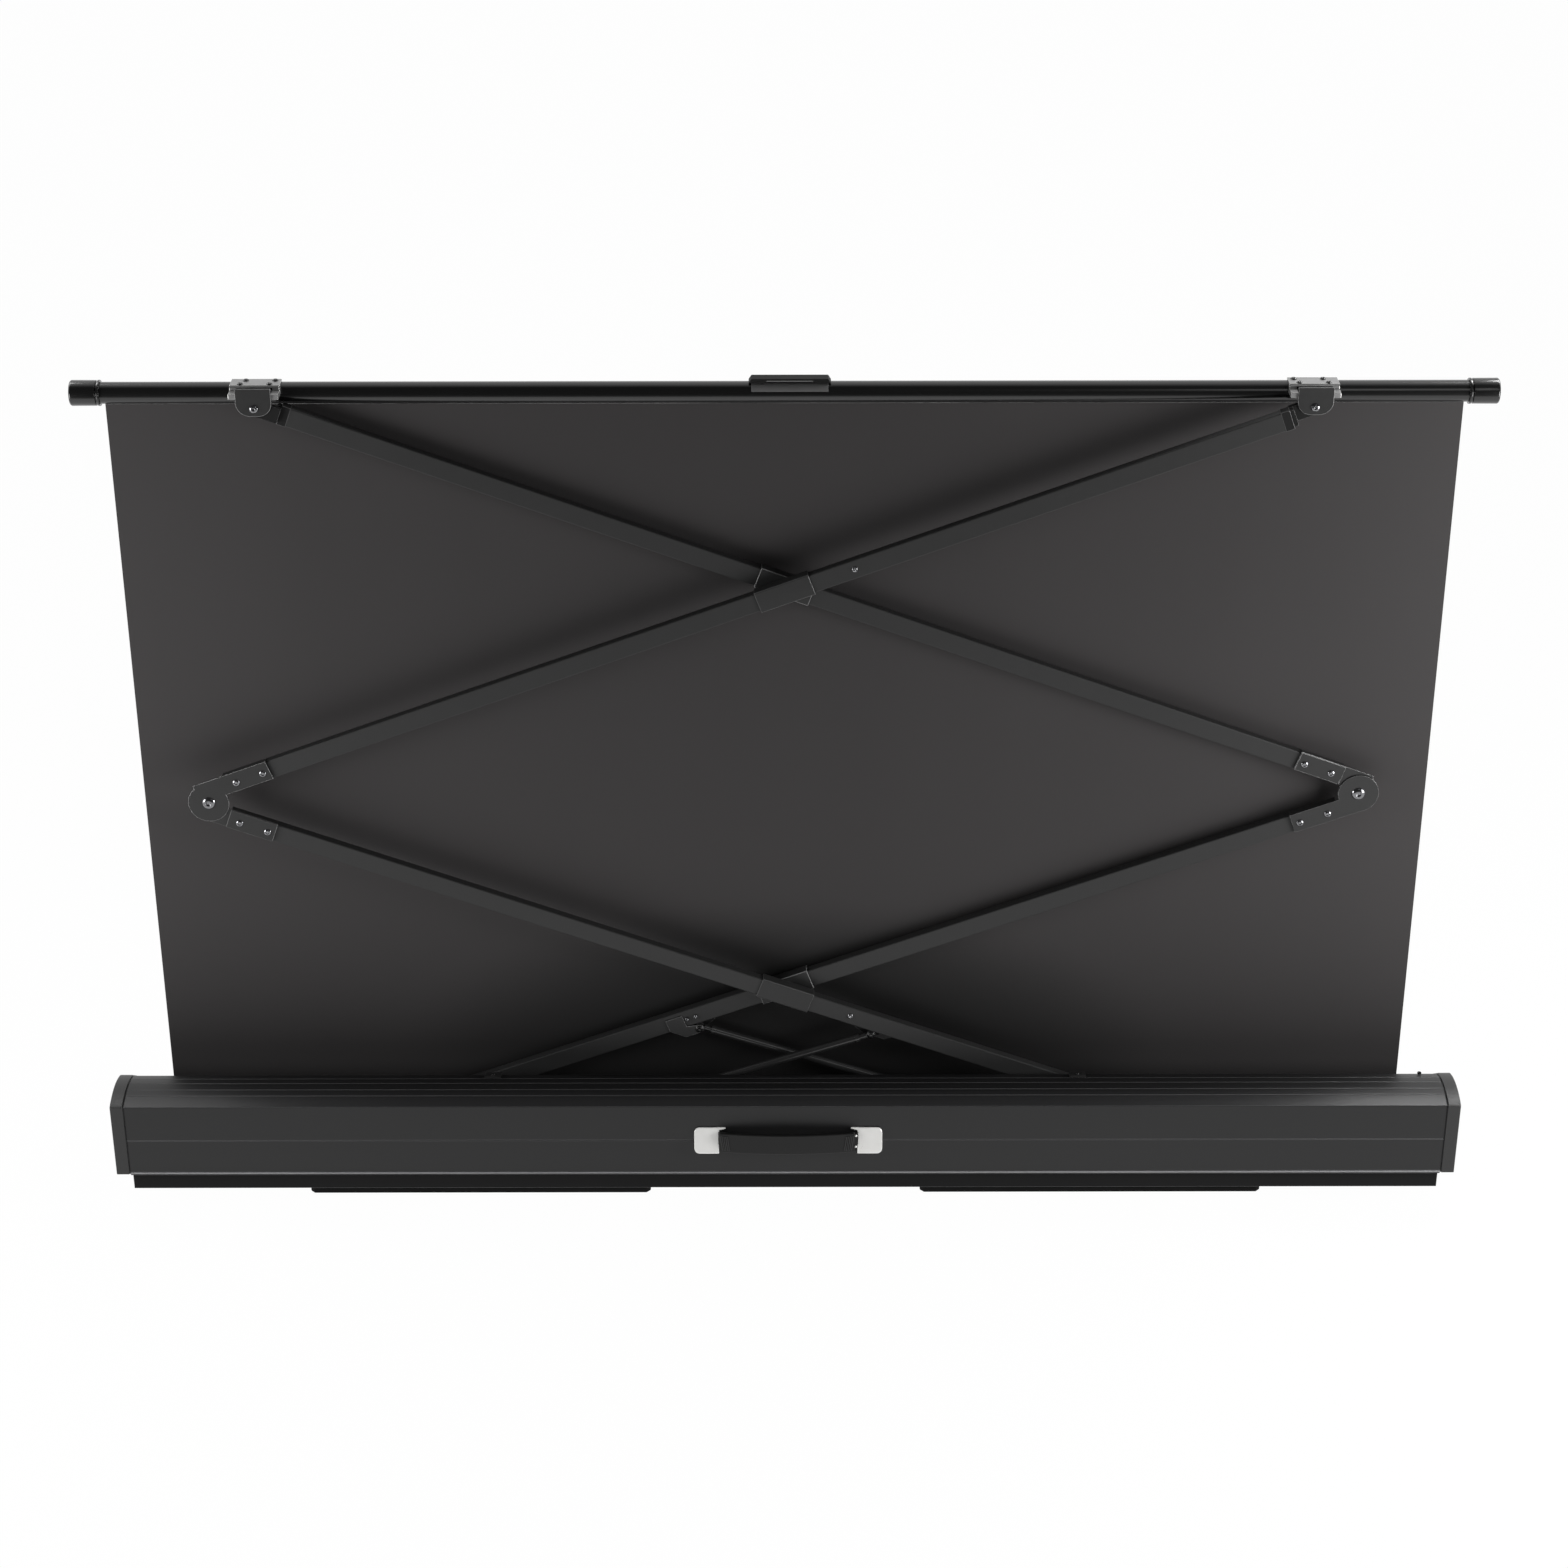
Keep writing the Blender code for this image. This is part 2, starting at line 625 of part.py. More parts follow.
def guide_block(side):
    """Small block screwed over the slot's lip, which keeps the arms off the edge."""
    start_share = 1 - GUIDE_DEPTH / COVER_DEPTH
    shares = [start_share + (1 - start_share) * i / CORNER_STEPS for i in range(CORNER_STEPS + 1)]
    under = [(COVER_DEPTH * s - REAR_FACE, arch_height(s) + GAP) for s in shares]
    over = [(a, b + GUIDE_THICKNESS) for a, b in under]
    edge = -LIP_BEHIND_CLOTH + GAP
    hook = [
        (edge + COVER_WALL, over[-1][1]),
        (edge + COVER_WALL, LIP_HEIGHT - GUIDE_HOOK),
        (edge, LIP_HEIGHT - GUIDE_HOOK),
        (edge, under[-1][1]),
    ]
    section = over + hook + under[-2::-1]
    middle = side * GUIDE_HALF_SPAN
    layers = [(section, middle - GUIDE_LENGTH / 2, middle + GUIDE_LENGTH / 2)]
    origin = (middle, CLOTH_Y - LIP_BEHIND_CLOTH, LIP_HEIGHT)
    return layered("guide_block_" + SIDE_NAME[side], layers, along_x(0, 0), origin, BLACK_PLASTIC)


def stop_nub():
    """Small rubber stop near the right end of the slot's lip."""
    share = 1 - NUB_INSET / COVER_DEPTH
    low = max(arch_height(share - NUB_RADIUS / COVER_DEPTH), arch_height(share)) + GAP
    outline = circle((NUB_PLACE, -LIP_BEHIND_CLOTH - NUB_INSET), NUB_RADIUS)
    origin = (NUB_PLACE, CLOTH_Y - LIP_BEHIND_CLOTH - NUB_INSET, low)
    return layered("stop_nub", [(outline, low, low + NUB_HEIGHT)], along_z, origin, BLACK_PLASTIC)


def spring_roller():
    """Spring roller across the front of the housing, with its end plugs and brackets."""
    place = along_x(ROLLER_AXIS_DEPTH, ROLLER_AXIS_HEIGHT)
    origin = (0, CLOTH_Y + ROLLER_AXIS_DEPTH, ROLLER_AXIS_HEIGHT)
    half = ROLLER_LENGTH / 2
    inside = ROLLER_RADIUS - ROLLER_WALL
    profile = [(-half, inside), (-half, ROLLER_RADIUS), (half, ROLLER_RADIUS), (half, inside)]
    turned("roller_tube", profile, place, origin, BRIGHT_STEEL, closed=True)
    for side in (-1, 1):
        face = half + GAP
        profile = [
            (side * (half - PLUG_DEPTH), 0),
            (side * (half - PLUG_DEPTH), inside - GAP),
            (side * face, inside - GAP),
            (side * face, ROLLER_RADIUS),
            (side * (face + PLUG_COLLAR), ROLLER_RADIUS),
            (side * (face + PLUG_COLLAR), AXLE_RADIUS),
            (side * (face + PLUG_COLLAR + AXLE_LENGTH), AXLE_RADIUS),
            (side * (face + PLUG_COLLAR + AXLE_LENGTH), 0),
        ]
        turned("roller_plug_" + SIDE_NAME[side], profile, place, origin, BLACK_PLASTIC)
        roller_bracket(side, face + PLUG_COLLAR + AXLE_LENGTH)


def roller_bracket(side, axle_end):
    """Upright plate on the rail that holds one axle of the roller."""
    low = RAIL_FLOOR + GAP
    left = ROLLER_AXIS_DEPTH - ROLLER_BRACKET_HALF
    right = ROLLER_AXIS_DEPTH + ROLLER_BRACKET_HALF
    crown = arc((ROLLER_AXIS_DEPTH, ROLLER_AXIS_HEIGHT), ROLLER_BRACKET_CROWN, 0, math.pi, SMALL_ROUND // 2)
    plate = [(left, low), (right, low)] + crown
    bore = circle((ROLLER_AXIS_DEPTH, ROLLER_AXIS_HEIGHT), AXLE_RADIUS + GAP)
    start = axle_end - ROLLER_BRACKET_WALL - GAP
    layers = [(plate, side * start, side * (start + ROLLER_BRACKET_WALL))]
    origin = (side * start, CLOTH_Y + ROLLER_AXIS_DEPTH, low)
    name = "roller_bracket_" + SIDE_NAME[side]
    return layered(name, layers, along_x(0, 0), origin, DARK_METAL, bore)


def cloth():
    """Black-backed cloth from the roller up to the top bar."""
    low = ROLLER_AXIS_HEIGHT
    behind = TUBE_BEFORE_CLOTH + GAP + CLOTH_THICKNESS
    high = TUBE_HEIGHT - math.sqrt(TUBE_RADIUS ** 2 - behind ** 2) - GAP
    half = CLOTH_WIDTH / 2
    outline = rectangle(-half, half, low, high)
    layers = [(outline, -GAP - CLOTH_THICKNESS, -GAP)]
    return layered("screen_cloth", layers, along_y, (0, CLOTH_Y, low), CLOTH_BACK)


def arm_tube(name, arm_point, side, start, end, origin):
    """Rectangular tube of one arm."""
    width = ARM_WIDTH / 2
    depth = ARM_DEPTH / 2
    section = rounded(-width, width, -depth, depth, ARM_CORNER, 2)
    hollow = rectangle(ARM_WALL - width, width - ARM_WALL, ARM_WALL - depth, depth - ARM_WALL)
    place = endwise(arm_point, side)
    return layered(name, [(section, start, end)], place, origin, DARK_METAL, hollow)


def side_bracket(arm_point, side, upper, outermost, origin):
    """Bracket that caps an arm's end at the side joint: pad, round plate and top flange."""
    face = -LAYER_DEPTH[side] - ARM_DEPTH / 2
    if upper:
        pivot = (0, -PIVOT_OFFSET)
        run = (PAD_START, BRACKET_REACH)
        meet_high = math.atan2(math.sqrt(BRACKET_RADIUS ** 2 - BRACKET_OVERSHOOT ** 2), -BRACKET_OVERSHOOT)
        meet_low = 2 * math.pi + math.asin((PIVOT_OFFSET - BRACKET_LOW) / BRACKET_RADIUS)
        plate = [(BRACKET_REACH, -BRACKET_LOW), (BRACKET_REACH, BRACKET_HIGH)]
        plate += [(-BRACKET_OVERSHOOT, BRACKET_HIGH)]
        plate += arc(pivot, BRACKET_RADIUS, meet_high, meet_low, ROUND)
    else:
        pivot = (ARM_LENGTH, PIVOT_OFFSET)
        run = (ARM_LENGTH - BRACKET_REACH, ARM_LENGTH - PAD_START)
        meet_low = math.pi + math.asin((PIVOT_OFFSET + BRACKET_LOW) / BRACKET_RADIUS)
        meet_high = 3 * math.pi - math.asin((BRACKET_HIGH - PIVOT_OFFSET) / BRACKET_RADIUS)
        plate = [(run[0], BRACKET_HIGH), (run[0], -BRACKET_LOW)]
        plate += arc(pivot, BRACKET_RADIUS, meet_low, meet_high, ROUND)
    inset = PAD_INSET
    pad = rectangle(run[0] + inset, run[1] - inset, inset - BRACKET_LOW, BRACKET_HIGH - inset)
    flange_top = BRACKET_HIGH - 2 * inset
    flange_low = flange_top - FLANGE_THICKNESS
    flange = rectangle(run[0] + 2 * inset, run[1] - 2 * inset, flange_low, flange_top)
    near = face - GAP
    middle = near - BRACKET_PLATE - BRACKET_STEP if outermost else near - BRACKET_PLATE
    far = near - 2 * BRACKET_PLATE - BRACKET_STEP
    if outermost:
        layers = [(plate, far, middle), (pad, middle, near), (flange, near, near + FLANGE_DEPTH)]
    else:
        layers = [(pad, far, middle), (plate, middle, near), (flange, near, near + FLANGE_DEPTH)]
    name = ("upper" if upper else "lower") + "_bracket_" + LAYER_NAME[side]
    bore = circle(pivot, BOLT_RADIUS + GAP)
    plate_layer = 0 if outermost else 1
    return layered(name, layers, face_on(arm_point, side), origin, DARK_METAL, bore, plate_layer)


def side_bolt(side):
    """Pan-headed bolt and nut through both round plates of a side joint."""
    face = -LAYER_DEPTH[side] - ARM_DEPTH / 2
    plates = face - GAP - 2 * BRACKET_PLATE - BRACKET_STEP
    centre = (side * SIDE_JOINT_HALF_SPAN, SIDE_PIVOT_HEIGHT)
    layers = [
        (circle(centre, BOLT_HEAD_RADIUS), plates - GAP - BOLT_HEAD, plates - GAP),
        (circle(centre, BOLT_RADIUS), plates - GAP, face),
        (circle(centre, BOLT_NUT_RADIUS), face, face + BOLT_NUT),
    ]
    return layered("side_bolt_" + SIDE_NAME[side], layers, along_y, side_pivot(side), GLOSS_BLACK)


def base_eye(side):
    """Solid eye plugged into the lower end of a lower arm."""
    width = ARM_WIDTH / 2 - ARM_WALL - PLUG_GAP
    stop = ARM_END_AT_BASE + PLUG_LENGTH
    nose = arc((0, 0), EYE_RADIUS, math.pi / 2, 3 * math.pi / 2, SMALL_ROUND // 2)
    shoulder = EYE_RADIUS
    outline = nose + [(shoulder, -EYE_RADIUS), (ARM_END_AT_BASE, -width), (stop, -width)]
    outline += [(stop, width), (ARM_END_AT_BASE, width), (shoulder, EYE_RADIUS)]
    layer = -LAYER_DEPTH[side]
    half = EYE_THICKNESS / 2
    layers = [(outline, layer - half, layer + half)]
    bore = circle((0, 0), EYE_BORE)
    name = "base_eye_" + LAYER_NAME[side]
    return layered(name, layers, face_on(lower_arm_point, side), base_pivot(side), DARK_METAL, bore)


def top_eye(side):
    """Cranked eye plugged into the upper end of an upper arm."""
    layer = -LAYER_DEPTH[side]
    width = ARM_WIDTH / 2 - ARM_WALL - PLUG_GAP
    half = ARM_DEPTH / 2 - ARM_WALL - PLUG_GAP
    tube_end = ARM_LENGTH - ARM_END_AT_TOP
    crank_start = tube_end + PLUG_GAP
    crank_end = crank_start + CRANK_LENGTH
    eye_far = GAP + EAR_WALL - EAR_BEHIND_CLOTH
    eye_near = eye_far + TOP_EYE_THICKNESS
    tip = arc((ARM_LENGTH, 0), EYE_RADIUS, -math.pi / 2, math.pi / 2, SMALL_ROUND // 2)
    neck = tip + [(crank_start, EYE_RADIUS), (crank_start, -EYE_RADIUS)]
    crank = rectangle(crank_start + GAP, crank_end - GAP, GAP - EYE_RADIUS, EYE_RADIUS - GAP)
    stem = rectangle(tube_end - PLUG_LENGTH, crank_end, -width, width)
    bore = circle((ARM_LENGTH, 0), TOP_PIN_RADIUS + GAP)
    plug = (stem, layer - half, layer + half)
    if side == OUTER:
        layers = [plug, (crank, layer + half, eye_far), (neck, eye_far, eye_near)]
    else:
        layers = [(neck, eye_far, eye_near), (crank, eye_near, layer - half), plug]
    neck_layer = 2 if side == OUTER else 0
    name = "top_eye_" + LAYER_NAME[side]
    return layered(name, layers, face_on(upper_arm_point, side), side_pivot(side), DARK_METAL, bore, neck_layer)


def crossing_sleeve(level, arm_point, side, station):
    """Box sleeve that slides on one arm where it crosses the other."""
    width = ARM_WIDTH / 2 + SLIDE_GAP
    depth = ARM_DEPTH / 2 + SLIDE_GAP
    wide = width + SLEEVE_WALL
    deep = depth + SLEEVE_WALL
    outer = rounded(-wide, wide, -deep, deep, SLEEVE_CORNER, 2)
    hollow = rectangle(-width, width, -depth, depth)
    layers = [(outer, station - SLEEVE_LENGTH / 2, station + SLEEVE_LENGTH / 2)]
    origin = arm_point(side, station, 0, -LAYER_DEPTH[side])
    name = level + "_sleeve_" + LAYER_NAME[side]
    return layered(name, layers, endwise(arm_point, side), origin, DARK_METAL, hollow)


def crossing_pin(level, height):
    """Round pin between the two sleeves of a crossing."""
    reach = ARM_DEPTH / 2 + SLIDE_GAP + SLEEVE_WALL + GAP
    layers = [(circle((0, height), CROSSING_PIN_RADIUS), reach - OUTER_LAYER, -INNER_LAYER - reach)]
    origin = (0, CLOTH_Y - (OUTER_LAYER + INNER_LAYER) / 2, height)
    return layered(level + "_crossing_pin", layers, along_y, origin, BRIGHT_STEEL)


def stud_bracket(name, centre, side, stud, radius, reach, look):
    """Cheek on the rail floor for an eye in one arm layer, with a stud where one is given."""
    layer = -LAYER_DEPTH[side]
    low = RAIL_FLOOR + GAP
    crown = arc(centre, radius, 0, math.pi, SMALL_ROUND // 2)
    cheek = [(centre[0] - CHEEK_HALF, low), (centre[0] + CHEEK_HALF, low)] + crown
    far = layer - reach / 2 - GAP - CHEEK_WALL
    near = far + CHEEK_WALL
    ends = (centre[0] - BRACKET_FOOT_HALF, centre[0] + BRACKET_FOOT_HALF)
    foot_plate = rectangle(*ends, low + GAP, low + GAP + BRACKET_FOOT_THICKNESS)
    layers = [(foot_plate, far - BRACKET_FOOT_DEPTH, far), (cheek, far, near)]
    if stud:
        layers.append((circle(centre, stud), near, layer + reach / 2 + GAP))
    return layered(name, layers, along_y, (centre[0], CLOTH_Y + layer, centre[1]), look)


def base_bracket(side):
    """Pivot bracket of a lower arm."""
    pivot = base_pivot(side)
    name = "base_bracket_" + SIDE_NAME[-side]
    return stud_bracket(name, (pivot[0], pivot[2]), side, STUD_RADIUS, EYE_RADIUS, EYE_THICKNESS, DARK_METAL)


def top_bar():
    """Top tube with its end caps and pull handle."""
    place = along_x(TUBE_BEFORE_CLOTH, TUBE_HEIGHT)
    origin = top_pivot(OUTER)
    half = TUBE_LENGTH / 2
    inside = TUBE_RADIUS - TUBE_WALL
    profile = [(-half, inside), (-half, TUBE_RADIUS), (half, TUBE_RADIUS), (half, inside)]
    turned("top_tube", profile, place, origin, GLOSS_BLACK, closed=True)
    for side in (-1, 1):
        face = half + GAP
        profile = [
            (side * (half - END_CAP_PLUG), 0),
            (side * (half - END_CAP_PLUG), inside - GAP),
            (side * face, inside - GAP),
            (side * face, END_CAP_RADIUS),
            (side * (face + END_CAP_LENGTH - END_CAP_CHAMFER), END_CAP_RADIUS),
            (side * (face + END_CAP_LENGTH), END_CAP_RADIUS - END_CAP_CHAMFER),
            (side * (face + END_CAP_LENGTH), 0),
        ]
        turned("top_cap_" + SIDE_NAME[side], profile, place, origin, BLACK_PLASTIC)
    low = TUBE_HEIGHT + TUBE_RADIUS + GAP
    top = low + PULL_RISE
    left = PULL_OFF_MIDDLE - PULL_HALF_LENGTH
    right = PULL_OFF_MIDDLE + PULL_HALF_LENGTH
    outline = [
        (left, low),
        (left + PULL_FOOT, low),
        (left + PULL_FOOT + PULL_STRIP, top - PULL_STRIP),
        (right - PULL_FOOT - PULL_STRIP, top - PULL_STRIP),
        (right - PULL_FOOT, low),
        (right, low),
        (right - PULL_END_STEP, top),
        (left + PULL_END_STEP, top),
    ]
    layers = [(outline, TUBE_BEFORE_CLOTH - PULL_HALF_WIDTH, TUBE_BEFORE_CLOTH + PULL_HALF_WIDTH)]
    layered("pull_handle", layers, along_y, origin, BLACK_PLASTIC)


def top_bracket(side):
    """Saddle on the top tube, its hanging ear and the pivot pin."""
    centre = -side * PIVOT_HALF_SPAN
    label = SIDE_NAME[-side]
    hug = TUBE_RADIUS + GAP
    web_back = TUBE_BEFORE_CLOTH + EAR_BEHIND_CLOTH - EAR_WALL - GAP
    web_top = TUBE_RADIUS * WEB_TOP_SHARE
    web_low = TUBE_RADIUS * WEB_BOTTOM_SHARE
    top = hug + TOP_PLATE_THICKNESS
    cradle = arc((0, 0), hug, SADDLE_START, math.pi - math.asin(web_low / hug), ROUND // 2)
    section = cradle + [
        (-web_back, web_low),
        (-web_back, web_top),
        (-TOP_PLATE_REAR, web_top),
        (-TOP_PLATE_REAR, top - TOP_PLATE_CURL),
        (TOP_PLATE_CURL - TOP_PLATE_REAR, top),
        (TOP_PLATE_FRONT, top),
    ]
    half = TOP_BRACKET_LENGTH / 2
    layers = [(section, centre - half, centre + half)]
    origin = top_pivot(OUTER)
    place = along_x(TUBE_BEFORE_CLOTH, TUBE_HEIGHT)
    layered("top_saddle_" + label, layers, place, origin, SATIN_GREY)
    low = TOP_PIVOT_HEIGHT - EAR_BELOW_PIVOT
    high = TOP_PIVOT_HEIGHT + EAR_ABOVE_PIVOT
    left = centre - EAR_HALF_WIDTH
    right = centre + EAR_HALF_WIDTH
    quarter = math.pi / 2
    outline = [(right, high), (left, high)]
    outline += arc((left + EAR_CORNER, low + EAR_CORNER), EAR_CORNER, 2 * quarter, 3 * quarter, CORNER_STEPS)
    outline += arc((right - EAR_CORNER, low + EAR_CORNER), EAR_CORNER, 3 * quarter, 4 * quarter, CORNER_STEPS)
    bore = circle((centre, TOP_PIVOT_HEIGHT), TOP_PIN_RADIUS + GAP)
    far = -EAR_BEHIND_CLOTH
    layers = [(outline, far, far + EAR_WALL)]
    layered("top_ear_" + label, layers, along_y, origin, DARK_METAL, bore)
    pin = (centre, TOP_PIVOT_HEIGHT)
    layers = [
        (circle(pin, TOP_PIN_HEAD_RADIUS), far - GAP - TOP_PIN_HEAD, far - GAP),
        (circle(pin, TOP_PIN_RADIUS), far - GAP, far + EAR_WALL + 2 * GAP + EYE_THICKNESS),
    ]
    layered("top_pin_" + label, layers, along_y, origin, GLOSS_BLACK)


def strut_ends(side):
    """Pivot on the lower arm and anchor over the rail of one gas strut."""
    x, _, z = lower_arm_point(side, STRUT_STATION, -STRUT_OFFSET, 0)
    anchor = (side * ANCHOR_HALF_SPAN, RAIL_FLOOR + ANCHOR_RISE)
    return (x, z), anchor


def gas_strut(side):
    """Gas strut: cylinder on the arm, rod anchored to the rail, and their fittings."""
    pivot, anchor = strut_ends(side)
    label = LAYER_NAME[side]
    length = math.dist(pivot, anchor)
    run = ((anchor[0] - pivot[0]) / length, (anchor[1] - pivot[1]) / length)
    layer = -LAYER_DEPTH[side]

    def round_axis(a, b, d):
        return (pivot[0] + run[0] * d - run[1] * a, CLOTH_Y + layer + b, pivot[1] + run[1] * d + run[0] * a)

    def flat_on(a, b, d):
        return (pivot[0] + run[0] * a - run[1] * b, CLOTH_Y + layer + d, pivot[1] + run[1] * a + run[0] * b)

    arm_end = (pivot[0], CLOTH_Y + layer, pivot[1])
    profile = [
        (STRUT_EYE_RADIUS + GAP, 0),
        (STRUT_EYE_RADIUS + GAP, STRUT_NECK_RADIUS),
        (STRUT_COLLAR_START, STRUT_NECK_RADIUS),
        (STRUT_COLLAR_START, STRUT_COLLAR_RADIUS),
        (STRUT_COLLAR_END, STRUT_COLLAR_RADIUS),
        (STRUT_COLLAR_END, STRUT_RADIUS),
        (STRUT_TUBE_END, STRUT_RADIUS),
        (STRUT_TUBE_END, STRUT_BORE_RADIUS),
        (STRUT_BORE_START, STRUT_BORE_RADIUS),
        (STRUT_BORE_START, 0),
    ]
    cylinder = turned("strut_cylinder_" + label, profile, round_axis, arm_end, GLOSS_BLACK, SMALL_ROUND)
    unite(cylinder, strut_eye("strut_cylinder_eye_" + label, 0, 1, flat_on, arm_end))
    profile = [
        (ROD_START, 0),
        (ROD_START, ROD_RADIUS),
        (length - STRUT_FERRULE_END, ROD_RADIUS),
        (length - STRUT_FERRULE_END, STRUT_NECK_RADIUS),
        (length - STRUT_EYE_RADIUS - GAP, STRUT_NECK_RADIUS),
        (length - STRUT_EYE_RADIUS - GAP, 0),
    ]
    rod = turned("strut_rod_" + label, profile, round_axis, arm_end, BRIGHT_STEEL, SMALL_ROUND)
    unite(rod, strut_eye("strut_rod_eye_" + label, length, -1, flat_on, arm_end))
    strut_clevis(side)
    name = "strut_anchor_" + SIDE_NAME[side]
    stud_bracket(name, anchor, side, None, STRUT_EYE_RADIUS, 2 * STRUT_NECK_RADIUS, DARK_METAL)


def strut_eye(name, station, way, flat_on, origin):
    """Flat eye on a strut's end, with a neck that runs into the round body.

    The cylinder's eye has a bore, and the rod's has its pin and spacer in one piece with it.
    """
    start = math.asin(STRUT_EYE_NECK / STRUT_EYE_RADIUS)
    round_end = arc((0, 0), STRUT_EYE_RADIUS, start, 2 * math.pi - start, SMALL_ROUND)
    outline = [(STRUT_EYE_REACH, -STRUT_EYE_NECK), (STRUT_EYE_REACH, STRUT_EYE_NECK)] + round_end
    outline = [(station + way * a, b) for a, b in outline]
    half = STRUT_EYE_THICKNESS / 2
    if way > 0:
        bore = circle((station, 0), STRUT_EYE_BORE)
        return layered(name, [(outline, -half, half)], flat_on, origin, DARK_METAL, bore)
    spacer = circle((station, 0), STRUT_SPACER_RADIUS)
    layers = [(spacer, -STRUT_NECK_RADIUS, -half), (outline, -half, half)]
    return layered(name, layers, flat_on, origin, DARK_METAL)


def strut_clevis(side):
    """Plate under a lower arm with the stud of its strut; the inner one is on the rear face."""
    station = STRUT_STATION
    low = -STRUT_OFFSET - STRUT_EYE_RADIUS
    tip = arc((station, -STRUT_OFFSET), STRUT_EYE_RADIUS, -math.pi / 2, math.pi / 2, SMALL_ROUND // 2)
    outline = tip + [
        (station - CLEVIS_END, -CLEVIS_LOW),
        (station - CLEVIS_END, CLEVIS_HIGH),
        (station - CLEVIS_START, CLEVIS_HIGH),
        (station - CLEVIS_START, -CLEVIS_LOW),
        (station - CLEVIS_END - STRUT_EYE_RADIUS, low),
    ]
    way = -1 if side == INNER else 1
    layer = -LAYER_DEPTH[side]
    face = layer + way * (ARM_DEPTH / 2 + GAP)
    stud = circle((station, -STRUT_OFFSET), STRUT_STUD_RADIUS)
    layers = [
        (outline, face + way * CLEVIS_WALL, face),
        (stud, face, layer - way * (STRUT_EYE_THICKNESS / 2 + GAP)),
    ]
    name = "strut_clevis_" + LAYER_NAME[side]
    return layered(name, layers, face_on(lower_arm_point, side), base_pivot(side), DARK_METAL)


def foot(side):
    """Long foot with its swivel post, stowed along the housing."""
    middle = side * FOOT_HALF_SPAN
    half = FOOT_LENGTH / 2
    width = FOOT_WIDTH / 2
    centre = -FOOT_BEHIND_CLOTH
    bevel = FOOT_CORNER
    outline = [
        (middle - half + bevel, centre - width),
        (middle + half - bevel, centre - width),
        (middle + half, centre - width + bevel),
        (middle + half, centre + width - bevel),
        (middle + half - bevel, centre + width),
        (middle - half + bevel, centre + width),
        (middle - half, centre + width - bevel),
        (middle - half, centre - width + bevel),
    ]
    post = circle((middle, centre), POST_RADIUS, ROUND)
    layers = [(outline, 0, FOOT_THICKNESS), (post, FOOT_THICKNESS, RAIL_BOTTOM - GAP)]
    origin = (middle, CLOTH_Y + centre, FOOT_THICKNESS)
    return layered("foot_" + SIDE_NAME[side], layers, along_z, origin, BLACK_PLASTIC)


def scissor(side):
    """Both arms of one layer, with their brackets, eyes, sleeves and side bolt."""
    label = LAYER_NAME[side]
    lower = base_pivot(side)
    upper = side_pivot(side)
    arm_tube("lower_arm_" + label, lower_arm_point, side, ARM_END_AT_BASE, ARM_LENGTH - ARM_END_AT_SIDE, lower)
    arm_tube("upper_arm_" + label, upper_arm_point, side, ARM_END_AT_SIDE, ARM_LENGTH - ARM_END_AT_TOP, upper)
    side_bracket(lower_arm_point, side, False, side == INNER, lower)
    side_bracket(upper_arm_point, side, True, side == OUTER, upper)
    side_bolt(side)
    base_eye(side)
    top_eye(side)
    crossing_sleeve("lower", lower_arm_point, side, CROSSING_STATION)
    crossing_sleeve("upper", upper_arm_point, side, ARM_LENGTH - CROSSING_STATION)
    base_bracket(side)
    gas_strut(side)
    top_bracket(side)


def build():
    """Make every piece of the screen."""
    clear_scene()
    rear_cover()
    front_cover()
    base_rail()
    carry_handle()
    stop_nub()
    spring_roller()
    cloth()
    top_bar()
    for side in (OUTER, INNER):
        scissor(side)
        end_cap(side)
        guide_block(side)
        foot(side)
    crossing_pin("lower", lower_arm_point(OUTER, CROSSING_STATION, 0, 0)[2])
    crossing_pin("upper", upper_arm_point(OUTER, ARM_LENGTH - CROSSING_STATION, 0, 0)[2])


build()
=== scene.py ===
"""Looks of a floor-standing pull-up projection screen, seen from behind and raised.

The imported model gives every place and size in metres. Hard pieces are softened copies of
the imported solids, repeated and ruled pieces come from Geometry Nodes, and every finish is
procedural.
"""

import json
import math

import bmesh
import bpy
from bpy.props import FloatProperty, FloatVectorProperty, IntProperty, PointerProperty
from bpy.types import Operator, Panel, PropertyGroup
from mathutils import Matrix, Vector

